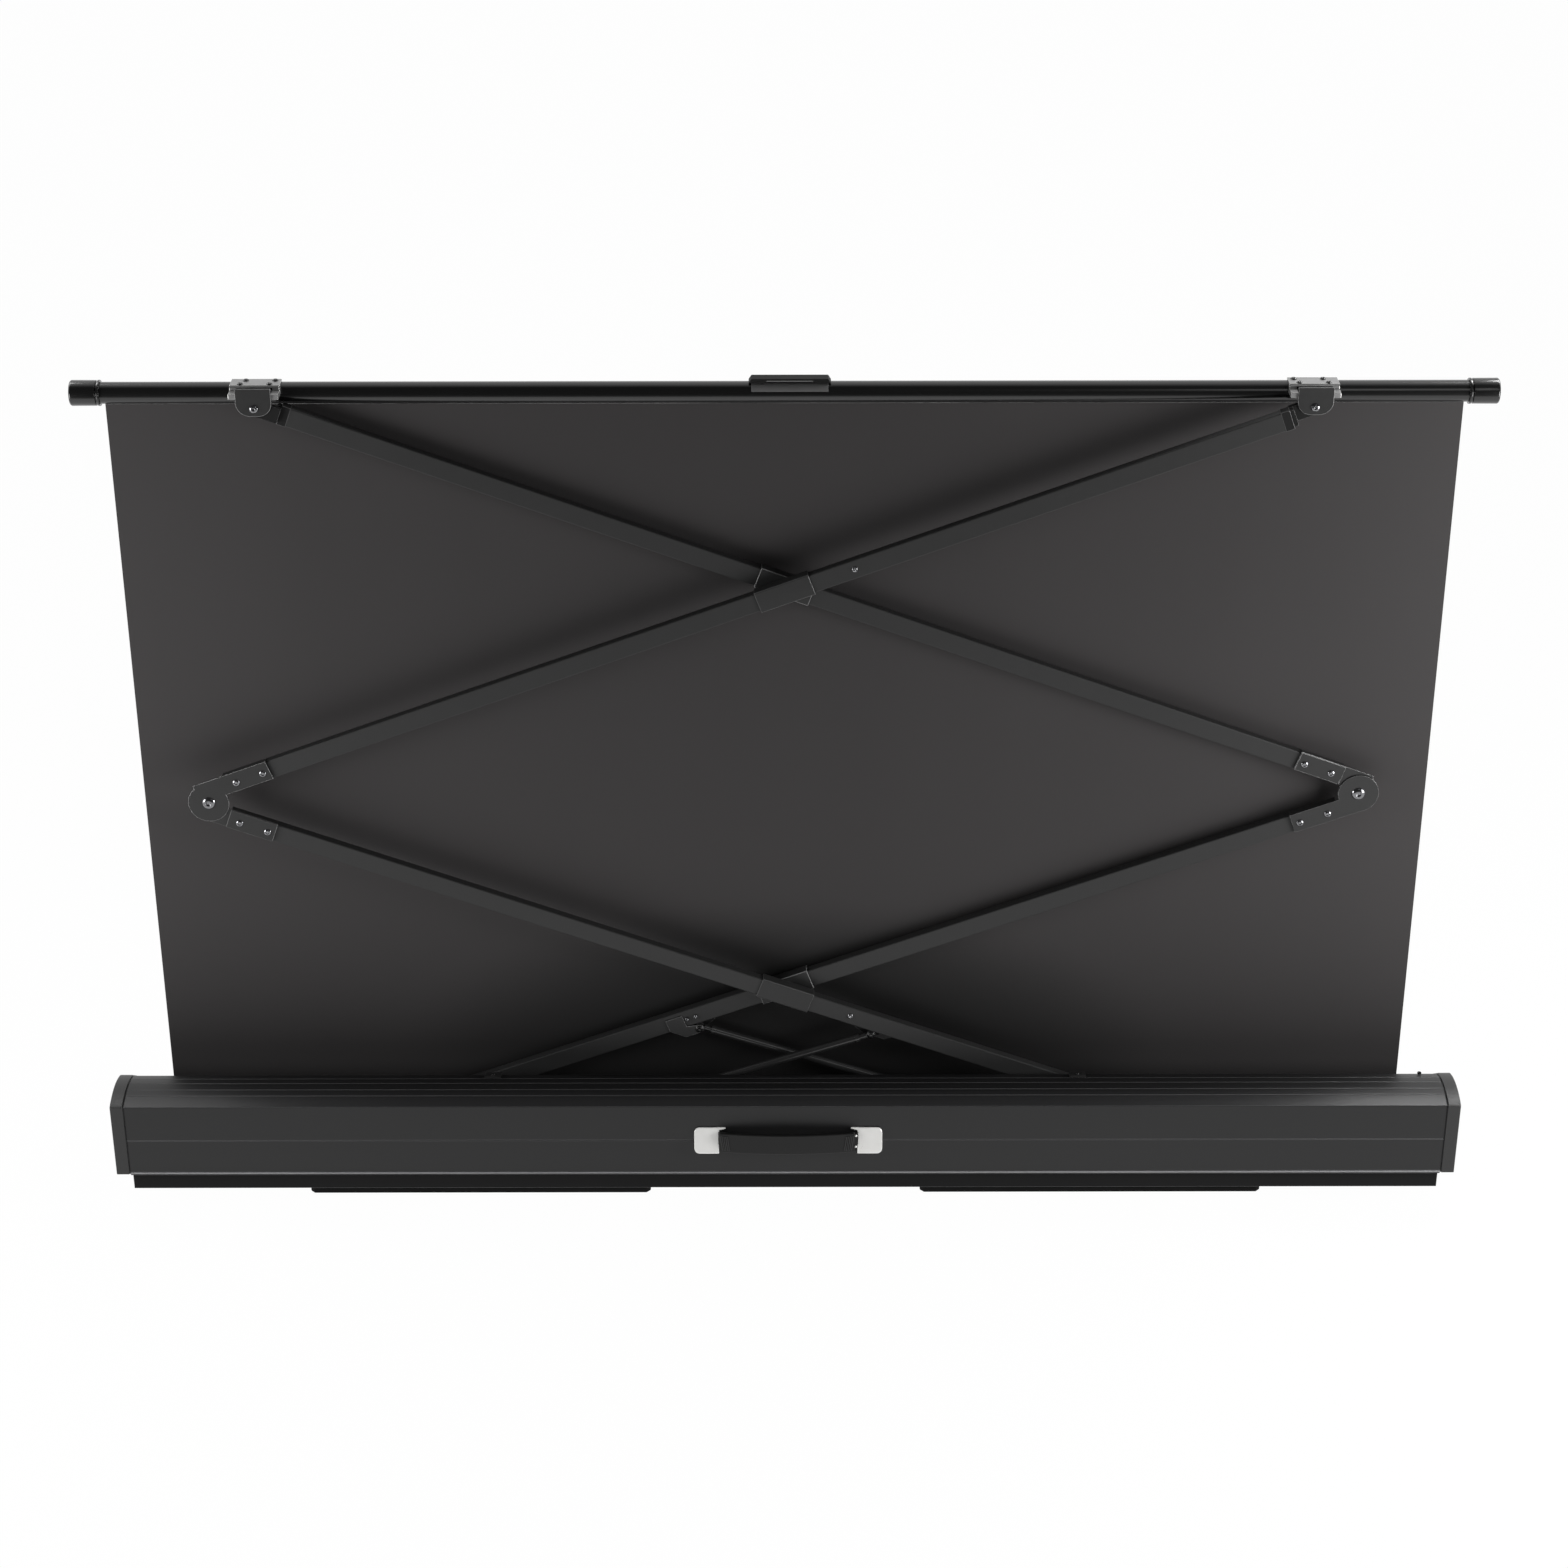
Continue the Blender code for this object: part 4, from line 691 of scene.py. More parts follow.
def arm_frame(level, layer):
    """Side joint of an arm, the way along the arm and the way across it, away from the other arm."""
    joint, way = (SIDE_LEFT, 1) if layer == "outer" else (SIDE_RIGHT, -1)
    rise = 1 if level == "upper" else -1
    along = Vector((way * ARM_RUN.x, 0, rise * ARM_RUN.z))
    across = Vector((-way * ARM_RUN.z, 0, rise * ARM_RUN.x))
    return joint, along, across


def clean_copy(node):
    """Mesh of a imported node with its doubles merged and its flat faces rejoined."""
    bm = bmesh.new()
    bm.from_mesh(frame["nodes"][node].data)
    bmesh.ops.remove_doubles(bm, verts=bm.verts, dist=0.00002)
    flat = math.radians(1.0)
    bmesh.ops.dissolve_limit(bm, angle_limit=flat, verts=bm.verts, edges=bm.edges, delimit={"NORMAL"})
    bmesh.ops.connect_verts_concave(bm, faces=bm.faces[:])
    return meshed(bm, node + "_dressed")


def soften(mesh, width, segments=2, angle=30.0, rimmed=False):
    """Round a mesh's edges, even out its normals and return the result as a new mesh.

    The rounded edges take the mesh's second material where they are rimmed.
    """
    mesh.shade_smooth()
    holder = bpy.data.objects.new("softening", mesh)
    bpy.context.scene.collection.objects.link(holder)
    bevel = holder.modifiers.new("edge", "BEVEL")
    bevel.width = width
    bevel.segments = segments
    bevel.limit_method = "ANGLE"
    bevel.angle_limit = math.radians(angle)
    bevel.use_clamp_overlap = True
    bevel.harden_normals = False
    bevel.miter_outer = "MITER_ARC"
    bevel.material = 1 if rimmed else -1
    evened = holder.modifiers.new("normals", "WEIGHTED_NORMAL")
    evened.keep_sharp = True
    result = evaluated(holder, mesh.name + "_soft")
    bpy.data.objects.remove(holder)
    return result


def evaluated(holder, name):
    """Plain mesh of an object after its modifiers."""
    graph = bpy.context.evaluated_depsgraph_get()
    graph.update()
    mesh = bpy.data.meshes.new_from_object(holder.evaluated_get(graph))
    mesh.name = name
    return mesh


def shaped(name, mesh, look, width, body, slot, nodes=(), rim=None, segments=3, angle=30.0):
    """Softened piece made from a plain mesh, with an optional finish on its edges."""
    looks = [finishes()[look]] + ([finishes()[rim]] if rim else [])
    for item in looks:
        mesh.materials.append(item)
    mesh = soften(mesh, width, segments, angle, bool(rim))
    return link(name, mesh, looks, body, nodes)


def stand_in(node, mesh, look, width, **settings):
    """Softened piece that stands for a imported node."""
    return shaped(node + "_piece", mesh, look, width, body_of(node), slot_of(node), [node], **settings)


def dress(node, look, width=None, segments=2, angle=30.0, rim=None, change=None):
    """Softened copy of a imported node, which it stands for, with an optional change to its mesh."""
    mesh = clean_copy(node)
    if change:
        change(mesh)
    width = sizes().edge if width is None else width
    return stand_in(node, mesh, look, width, rim=rim, segments=segments, angle=angle)


def bridge(bm, low, high):
    """Band of faces between two rings of points, of which either may be a lone point."""
    for i in range(max(len(low), len(high))):
        corners = [ring[j % len(ring)] for ring, j in ((low, i - 1), (low, i), (high, i), (high, i - 1))]
        corners = list(dict.fromkeys(corners))
        if len(corners) > 2:
            bm.faces.new(corners)


def slab(name, outline, low, high, place):
    """Closed mesh of an outline run out between two depths."""
    bm = bmesh.new()
    rings = [[bm.verts.new(place(a, b, depth)) for a, b in outline] for depth in (low, high)]
    bridge(bm, *rings)
    bm.faces.new(rings[0])
    bm.faces.new(list(reversed(rings[1])))
    bmesh.ops.recalc_face_normals(bm, faces=bm.faces)
    bmesh.ops.connect_verts_concave(bm, faces=bm.faces[:])
    return meshed(bm, name)


def facing_back(a, b, depth):
    """Place in a slab whose outline lies in X and Z."""
    return Vector((a, depth, b))


def corner(centre, radius, start, steps=5):
    """Points along a quarter turn, from a start angle in degrees."""
    turns = [math.radians(start + 90.0 * i / steps) for i in range(steps + 1)]
    return [(centre[0] + radius * math.cos(turn), centre[1] + radius * math.sin(turn)) for turn in turns]


# Geometry Nodes

def grown(name, source, group, settings):
    """Run a tree on a source mesh and return the plain mesh it makes."""
    holder = bpy.data.objects.new(name, source)
    bpy.context.scene.collection.objects.link(holder)
    modifier = holder.modifiers.new("grow", "NODES")
    modifier.node_group = group
    known = {item.name: item.identifier for item in group.interface.items_tree if item.in_out == "INPUT"}
    for key, value in settings.items():
        modifier[known[key]] = value
    mesh = evaluated(holder, name)
    holder.modifiers.remove(modifier)
    bpy.data.objects.remove(holder)
    return mesh


def seats(places):
    """Mesh of lone points, each with the outward normal that its fastener follows."""
    mesh = bpy.data.meshes.new("seats")
    mesh.from_pydata([tuple(place) for place, _ in places], [], [])
    normals = mesh.attributes.new("facing", "FLOAT_VECTOR", "POINT")
    for index, (_, normal) in enumerate(places):
        normals.data[index].vector = Vector(normal).normalized()
    return mesh


def head_mesh(radius, height, recess, steps=24):
    """Screw or rivet head standing on +Z: a low dome with a cross recess or a hollow middle."""
    bm = bmesh.new()
    rings = []
    profile_shares = [(1.0, -0.12), (1.0, 0.18), (0.93, 0.48), (0.76, 0.76), (0.52, 0.93), (0.38, 0.99)]
    for share, rise in profile_shares:
        ring = []
        for i in range(steps):
            turn = 2 * math.pi * i / steps
            sunk = 0.0
            if recess and share < 0.6:
                arm = abs(math.cos(2 * turn)) ** 4
                sunk = arm * (0.6 if share < 0.4 else 0.35)
            elif not recess and share < 0.4:
                sunk = 0.75
            z = (rise - sunk) * height
            ring.append(bm.verts.new((share * radius * math.cos(turn), share * radius * math.sin(turn), z)))
        rings.append(ring)
    rings.append([bm.verts.new((0, 0, (0.35 if recess else 0.15) * height))])
    for low, high in zip(rings, rings[1:]):
        bridge(bm, low, high)
    bm.faces.new(list(reversed(rings[0])))
    bmesh.ops.recalc_face_normals(bm, faces=bm.faces)
    return shaded(meshed(bm, "head"), 50.0)


def head_tree(name, head, look):
    """Tree that sets one fastener on every seat, turned along its normal."""
    tree = Tree(name)
    scale = tree.value("Scale", "Float", 1.0)
    facing = tree.node("GeometryNodeInputNamedAttribute", {"data_type": "FLOAT_VECTOR"}, {"Name": "facing"})
    turn = tree.node("FunctionNodeAlignRotationToVector", {"axis": "Z"}, {"Vector": facing})
    piece = tree.node("GeometryNodeObjectInfo", None, {"Object": head}, "Geometry")
    points = tree.node("GeometryNodeMeshToPoints", None, {"Mesh": tree.source})
    feeds = {"Points": points, "Instance": piece, "Rotation": turn}
    placed = tree.node("GeometryNodeInstanceOnPoints", None, feeds)
    evenly = tree.node("ShaderNodeCombineXYZ", None, dict.fromkeys("XYZ", scale))
    sized = tree.node("GeometryNodeScaleInstances", None, {"Instances": placed, "Scale": evenly})
    return tree.finish(sized, look)


def scatter(name, places, shape, look, body):
    """Copies of one small shape on one body, each turned along its seat's normal."""
    head = bpy.data.objects.new(name + "_shape", shape)
    bpy.context.scene.collection.objects.link(head)
    group = head_tree(name + "_tree", head, finishes()[look])
    mesh = grown(name, seats(places), group, {"Scale": 1.0})
    bpy.data.objects.remove(head)
    shaded(mesh, 50.0)
    return link(name, mesh, finishes()[look], body)


def fasten(name, places, head, recess, look, body):
    """Fasteners of one kind on one body, whose head has a radius and a height."""
    return scatter(name, places, head_mesh(*head, recess), look, body)


def lathe(name, profile, start, axis, look, body, nodes=(), steps=48):
    """Round piece turned from (station, radius) points along an axis from a start point."""
    along = Vector(axis).normalized()
    side = along.orthogonal().normalized()
    other = along.cross(side)
    turns = [2 * math.pi * i / steps for i in range(steps)]
    spokes = [side * math.cos(turn) + other * math.sin(turn) for turn in turns]
    bm = bmesh.new()
    rings = []
    for station, radius in profile:
        centre = Vector(start) + along * station
        rings.append([bm.verts.new(centre + radius * spoke) for spoke in (spokes if radius else spokes[:1])])
    for low, high in zip(rings, rings[1:]):
        bridge(bm, low, high)
    bmesh.ops.recalc_face_normals(bm, faces=bm.faces)
    return link(name, shaded(meshed(bm, name), 32.0), finishes()[look], body, nodes)


def turned(node, profile, start, axis, look, steps=48):
    """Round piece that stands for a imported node."""
    return lathe(node + "_piece", profile, start, axis, look, body_of(node), [node], steps)


def turned_pin(node, points, rounding):
    """Round piece along Y that stands for a packed pin, from its profile's sharp corners."""
    low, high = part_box(node)
    start = ((low.x + high.x) / 2, low.y, (low.z + high.z) / 2)
    return turned(node, rounded_profile(points, rounding), start, (0, 1, 0), "chrome")


def mirrored(end, length):
    """Profile with the same end at both sides of its length."""
    return end + [(length - station, radius) for station, radius in reversed(end)]


def rounded_profile(points, radius, steps=4):
    """Profile whose inner corners are rounded, from (station, radius) points."""
    longest_share = 0.45
    result = [points[0]]
    for before, here, after in zip(points, points[1:], points[2:]):
        sharp = Vector((*here, 0))
        first = Vector((*before, 0)) - sharp
        second = Vector((*after, 0)) - sharp
        cut = min(radius, first.length * longest_share, second.length * longest_share)
        a = sharp + first.normalized() * cut
        b = sharp + second.normalized() * cut
        for i in range(steps + 1):
            t = i / steps
            point = a * (1 - t) ** 2 + sharp * 2 * t * (1 - t) + b * t ** 2
            result.append((point.x, point.y))
    result.append(points[-1])
    return result


# Operators

class SCREEN_OT_housing(Operator):
    """Dress the covers, rail, end caps and slot fittings of the housing."""

    bl_idname = "screen.housing"
    bl_label = "Dress the housing"
    CAP_SCREW = (0.0045, 0.0024)
    CAP_SCREW_INSET = 0.016
    HIGH_SCREW_SHARE = 0.78
    GUIDE_SCREW = (0.0026, 0.0012)
    GUIDE_SCREW_SHARE = 0.42

    def execute(self, context):
        soft = sizes().edge
        # The rear cover carries painted marks on its foot, ends and slope; its rims and the rail's take a
        # painted highlight.
        dress("rear_cover", "cover", soft * 0.5, angle=25.0, rim="groove")
        dress("front_cover", "cover", soft * 0.7, angle=25.0)
        dress("base_rail", "rail", soft, rim="groove")
        for side in SIDES:
            dress("end_cap_" + side, "cap", soft * 2.2, 3, 20.0)
            dress("guide_block_" + side, "plastic", soft * 0.8)
            for node in ("base_bracket_", "roller_bracket_"):
                dress(node + side, "bracket", soft * 0.6)
            self.cap_screws(side)
        dress("stop_nub", "rubber", soft, 3)
        self.guide_screws()
        return {"FINISHED"}

    def cap_screws(self, side):
        """Three screws sunk into the outer face of an end cap."""
        node = "end_cap_" + side
        low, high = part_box(node)
        way = SIDES[side]
        face = end_of(node, way) - way * self.CAP_SCREW[1]
        back = low.y + self.CAP_SCREW_INSET
        foot = low.z + self.CAP_SCREW_INSET
        top = low.z + (high.z - low.z) * self.HIGH_SCREW_SHARE
        spots = [(back, foot), (back, top), (high.y - self.CAP_SCREW_INSET, foot)]
        places = [(Vector((face, y, z)), (way, 0, 0)) for y, z in spots]
        fasten("end_cap_screws_" + side, places, self.CAP_SCREW, True, "bolt", "housing")

    def guide_screws(self):
        """One screw on top of each guide block."""
        places = []
        for side in SIDES:
            low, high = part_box("guide_block_" + side)
            y = low.y + (high.y - low.y) * self.GUIDE_SCREW_SHARE
            places.append((Vector(((low.x + high.x) / 2, y, high.z - self.GUIDE_SCREW[1])), (0, 0, 1)))
        fasten("guide_block_screws", places, self.GUIDE_SCREW, True, "bolt", "housing")


class SCREEN_OT_roller(Operator):
    """Dress the spring roller with its plugs and the turns of cloth left on it."""

    bl_idname = "screen.roller"
    bl_label = "Dress the roller"
    CLOTH_STEP = 0.0001
    ROUND_END = ((0, 0.0016), (0.0002, 0.0006), (0.0009, 0.0001))

    def execute(self, context):
        low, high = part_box("roller_tube")
        radius = (high.z - low.z) / 2
        length = high.x - low.x
        edge = length / 2 - CLOTH_HIGH.x
        end = [(0, 0)] + [(station, radius - drop) for station, drop in self.ROUND_END]
        end += [(edge, radius - self.CLOTH_STEP), (edge, radius)]
        start = (low.x, ROLLER_AXIS.y, ROLLER_AXIS.z)
        turned("roller_tube", mirrored(end, length), start, (1, 0, 0), "back", 64)
        for side in SIDES:
            dress("roller_plug_" + side, "plastic")
        return {"FINISHED"}


class SCREEN_OT_cloth(Operator):
    """Make the hanging cloth: black backing, white viewing face and faint slow waves."""

    bl_idname = "screen.cloth"
    bl_label = "Make the cloth"
    COLUMNS = 186
    ROWS = 116
    WAVES_PER_METRE = 2.4
    WAVE_STRETCH = (2.2, 0.5, 1.0)

    def execute(self, context):
        width = CLOTH_HIGH.x - CLOTH_LOW.x
        height = CLOTH_HIGH.z - CLOTH_LOW.z
        settings = {"Width": width, "Height": height, "Ripple": sizes().cloth_ripple}
        sheet = grown("cloth_grid", bpy.data.meshes.new("cloth_source"), self.waving(), settings)
        piece = self.thickened(sheet)
        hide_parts("screen_cloth")
        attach(piece, "housing")
        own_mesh(piece)
        return {"FINISHED"}

    def waving(self):
        """Tree that makes a flat grid and raises slow waves on it."""
        tree = Tree("cloth_tree")
        width = tree.value("Width", "Float", 1.0)
        height = tree.value("Height", "Float", 1.0)
        depth = tree.value("Ripple", "Float", 0.001)
        lines = {"Size X": width, "Size Y": height, "Vertices X": self.COLUMNS, "Vertices Y": self.ROWS}
        grid = tree.node("GeometryNodeMeshGrid", None, lines)
        feeds = {0: tree.node("GeometryNodeInputPosition"), 1: self.WAVE_STRETCH}
        stretched = tree.node("ShaderNodeVectorMath", {"operation": "MULTIPLY"}, feeds)
        feeds = {"Vector": stretched, "Scale": self.WAVES_PER_METRE, "Detail": 1.0}
        waves = tree.node("ShaderNodeTexNoise", None, feeds)
        shift = tree.node("ShaderNodeCombineXYZ", None, {"Z": (waves - 0.5) * depth})
        moved = tree.node("GeometryNodeSetPosition", None, {"Geometry": grid, "Offset": shift})
        return tree.finish(moved, finishes()["back"])

    def folded_share(self, height):
        """Share of the cloth's height that still shows when the screen is folded."""
        angle = math.atan2(ARM_RUN.z, ARM_RUN.x)
        folded = angle - math.radians(JOINTS["fold"]["range_deg"][1])
        reach = TOP_RIGHT.x - SIDE_LEFT.x
        rise = TOP_RIGHT.z - SIDE_LEFT.z
        offset = rise * math.cos(angle) - reach * math.sin(angle)
        length = rise * math.sin(angle) + reach * math.cos(angle)
        drop = 2 * (rise - length * math.sin(folded) - offset * math.cos(folded))
        return (height - drop) / height

    def thickened(self, sheet):
        """Stand the flat grid up as a thin closed sheet with a backing, a viewing face and a hem."""
        bm = bmesh.new()
        bm.from_mesh(sheet)
        middle = Vector((0, CLOTH_Y, (CLOTH_LOW.z + CLOTH_HIGH.z) / 2))
        upright = Matrix.Translation(middle) @ Matrix.Rotation(math.radians(90), 4, "X")
        bmesh.ops.transform(bm, matrix=upright, verts=bm.verts)
        half = (CLOTH_HIGH.y - CLOTH_LOW.y) / 2
        backs = bm.verts[:]
        hem = [edge for edge in bm.edges if len(edge.link_faces) == 1]
        twin = bmesh.ops.duplicate(bm, geom=bm.verts[:] + bm.edges[:] + bm.faces[:])["vert_map"]
        for vert in backs:
            vert.co.y -= half
            twin[vert].co.y += half
        for edge in hem:
            a, b = edge.verts
            bm.faces.new((a, b, twin[b], twin[a]))
        bmesh.ops.recalc_face_normals(bm, faces=bm.faces)
        for face in bm.faces:
            broad = abs(face.normal.y) > 0.5
            face.material_index = (1 if face.normal.y > 0 else 0) if broad else 2
        mesh = shaded(meshed(bm, "screen_cloth_piece"))
        return link("screen_cloth_piece", mesh, [finishes()[look] for look in ("back", "front", "hem")])


class SCREEN_OT_arms(Operator):
    """Dress the scissor arms with their brackets, eyes, sleeves and bolts."""

    bl_idname = "screen.arms"
    bl_label = "Dress the arms"
    UPPER_BRACKET_EDGE = 0.0015
    BOOT_SKIN = 0.0004
    BOLT_DISH = ((0.0026, 0), (0.0024, 0.0030), (0, 0.0036), (0.0003, 0.0058))
    BOLT_SHOULDER = 0.0012
    BOLT_SHOULDER_SHARE = 0.86
    BOLT_RIM = (0.0027, 0.0029)
    BOLT_SHANK = 0.0040
    BOLT_ROUNDING = 0.0006
    NUT_RADIUS = 0.0085
    NUT_DEPTH = 0.0042

    def execute(self, context):
        size = sizes()
        for layer in LAYERS:
            for level in LEVELS:
                dress(f"{level}_arm_{layer}", "arm", size.edge * 0.5, angle=20.0)
                self.bracket(level, layer)
                # Sleeve rims take a painted highlight, fainter on the outer layer.
                rim = "edge" if layer == "inner" else "soft_edge"
                dress(f"{level}_sleeve_{layer}", "arm", size.tube_edge, angle=40.0, rim=rim)
            dress("base_eye_" + layer, "bracket")
            # The top eye's rim takes a painted highlight.
            dress("top_eye_" + layer, "boot", rim="edge")
            self.end_boot(layer)
        for level in LEVELS:
            dress(level + "_crossing_pin", "steel")
        for side in SIDES:
            self.bolt(side)
        return {"FINISHED"}

    def bracket(self, level, layer):
        """Side bracket whose pad is drawn out along its arm, with painted highlights on its edges, brighter
        on an upper bracket.
        """
        size = sizes()
        joint, run, _ = arm_frame(level, layer)

        def longer(mesh):
            for vert in mesh.vertices:
                beyond = (vert.co - joint).dot(run) - size.pad_start
                vert.co += run * max(0.0, beyond) * (size.pad_stretch - 1)

        upper = level == "upper"
        width = self.UPPER_BRACKET_EDGE if upper else size.tube_edge
        # Painted highlight on the rim, brighter on an upper bracket.
        rim = "light_edge" if upper else "edge"
        dress(f"{level}_bracket_{layer}", "bracket", width, angle=35.0, rim=rim, change=longer)

    def end_boot(self, layer):
        """Dark boot over the upper end of an upper arm."""
        size = sizes()
        joint, run, up = arm_frame("upper", layer)
        start = joint + up * size.joint_offset
        wide = size.arm_width / 2 + self.BOOT_SKIN
        deep = size.arm_depth / 2 + self.BOOT_SKIN
        outline = [(-wide, -deep), (wide, -deep), (wide, deep), (-wide, deep)]
        end = size.arm_length - size.boot_start
        name = "end_boot_" + layer

        def place(across, depth, along):
            return start + run * along + up * across + Vector((0, depth, 0))

        mesh = slab(name, outline, end - size.boot_length, end, place)
        body = f"upper_arm_{layer}_body"
        # The boot's rim takes a faint painted highlight.
        shaped(name, mesh, "boot", size.edge, body, "black_plastic", rim="soft_edge")

    def bolt(self, side):
        """Domed bolt with a dished head and a nut, through the side joint."""
        node = "side_bolt_" + side
        low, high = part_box(node)
        radius = (high.x - low.x) / 2
        length = high.y - low.y
        nut = length - self.NUT_DEPTH
        points = [*self.BOLT_DISH, (self.BOLT_SHOULDER, radius * self.BOLT_SHOULDER_SHARE)]
        points += [(station, radius) for station in self.BOLT_RIM]
        points += [(self.BOLT_RIM[1], self.BOLT_SHANK), (nut, self.BOLT_SHANK)]
        points += [(nut, self.NUT_RADIUS), (length, self.NUT_RADIUS), (length, 0)]
        turned_pin(node, points, self.BOLT_ROUNDING)


class SCREEN_OT_rivets(Operator):
    """Set the rivets of the arm brackets and the stop screws near the crossings."""

    bl_idname = "screen.rivets"
    bl_label = "Set the rivets"
    RIVET_PLACES = (0.0505, 0.0920)

    def execute(self, context):
        size = sizes()
        for layer in LAYERS:
            for level in reversed(LEVELS):
                joint, run, across = arm_frame(level, layer)
                start = joint + across * size.joint_offset
                start.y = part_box(f"{level}_bracket_{layer}")[0].y
                places = [(start + run * along, (0, -1, 0)) for along in self.RIVET_PLACES]
                body = f"{level}_arm_{layer}_body"
                name = f"{level}_bracket_rivets_{layer}"
                fasten(name, places, (size.rivet, size.dome), False, "chrome", body)
                if layer == "outer":
                    self.stop_screw(level, start, run, body)
        return {"FINISHED"}

    def stop_screw(self, level, start, run, body):
        """Cross-recessed screw on an outer arm, right of its crossing."""
        size = sizes()
        along = (size.stop_place - start.x) / run.x
        spot = start + run * along
        spot.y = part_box(f"{level}_arm_outer")[0].y
        head = (size.screw, size.dome)
        fasten(f"{level}_stop_screw", [(spot, (0, -1, 0))], head, True, "chrome", body)


class SCREEN_OT_struts(Operator):
    """Dress the gas struts, their clevises and anchors."""

    bl_idname = "screen.struts"
    bl_label = "Dress the struts"
    COLLAR_BORE = 0.0057
    COLLAR_RING = ((0.0004, 0.0066), (0.0026, 0.0069), (0.0048, 0.0066))
    COLLAR_LENGTH = 0.0052
    COLLAR_START = 0.0184
    STUD = (0.0062, 0.0018)
    STUD_DEPTH = 0.0040
    PLATE = (
        (-0.024, -0.010), (0.014, -0.010), (0.014, 0.002),
        (0.007, 0.0065), (-0.010, 0.0065), (-0.024, 0.001),
    )
    PLATE_GAP = 0.0002
    PLATE_THICKNESS = 0.0014
    SCREW = (0.0030, 0.0014)
    SCREW_DROP = 0.0215
    SCREW_PLACES = (-0.0018, 0.0117)

    def execute(self, context):
        soft = sizes().edge
        for layer in LAYERS:
            dress("strut_cylinder_" + layer, "strut", soft * 0.5, angle=35.0)
            dress("strut_rod_" + layer, "steel", soft * 0.4, angle=35.0)
            # The clevis's rim takes a painted highlight.
            dress("strut_clevis_" + layer, "bracket", soft * 0.8, rim="edge")
            self.collar(layer)
            self.clevis_fittings(layer)
        for side in SIDES:
            dress("strut_anchor_" + side, "bracket", soft * 0.8)
        return {"FINISHED"}

    def collar(self, layer):
        """Shiny ring on the pivot's end of a strut's cylinder."""
        run = -Vector(JOINTS[f"strut_rod_{layer}_slide"]["axis"])
        place = Vector(JOINTS["strut_pivot_" + layer]["pos_m"]) + run * self.COLLAR_START
        near = (0, self.COLLAR_BORE)
        ring = [near, *self.COLLAR_RING, (self.COLLAR_LENGTH, self.COLLAR_BORE), near]
        body = f"strut_cylinder_{layer}_body"
        lathe("strut_collar_" + layer, ring, place, run, "chrome", body)

    def clevis_fittings(self, layer):
        """Head of a strut's pivot stud, the plate behind its cylinder and the inner clevis's screws."""
        pivot = Vector(JOINTS["strut_pivot_" + layer]["pos_m"])
        back, front = (corner.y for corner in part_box("strut_cylinder_" + layer))
        body = f"lower_arm_{layer}_body"
        inner = layer == "inner"
        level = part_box("strut_clevis_inner")[0].y if inner else back + self.STUD_DEPTH
        head = Vector((pivot.x, level, pivot.z))
        fasten("strut_stud_" + layer, [(head, (0, -1, 0))], self.STUD, False, "bolt", body)
        _, along, across = arm_frame("lower", layer)
        near = front - pivot.y + self.PLATE_GAP

        def behind(a, b, depth):
            return pivot + along * a + across * b + Vector((0, depth, 0))

        mesh = slab("plate", self.PLATE, near, near + self.PLATE_THICKNESS, behind)
        width = sizes().edge * 0.8
        # The plate's rim takes a faint painted highlight.
        shaped("clevis_plate_" + layer, mesh, "boot", width, body, "bracket_metal", rim="soft_edge")
        if inner:
            middle = head - across * self.SCREW_DROP
            places = [(middle + along * place, (0, -1, 0)) for place in self.SCREW_PLACES]
            fasten("clevis_screws", places, self.SCREW, True, "chrome", body)


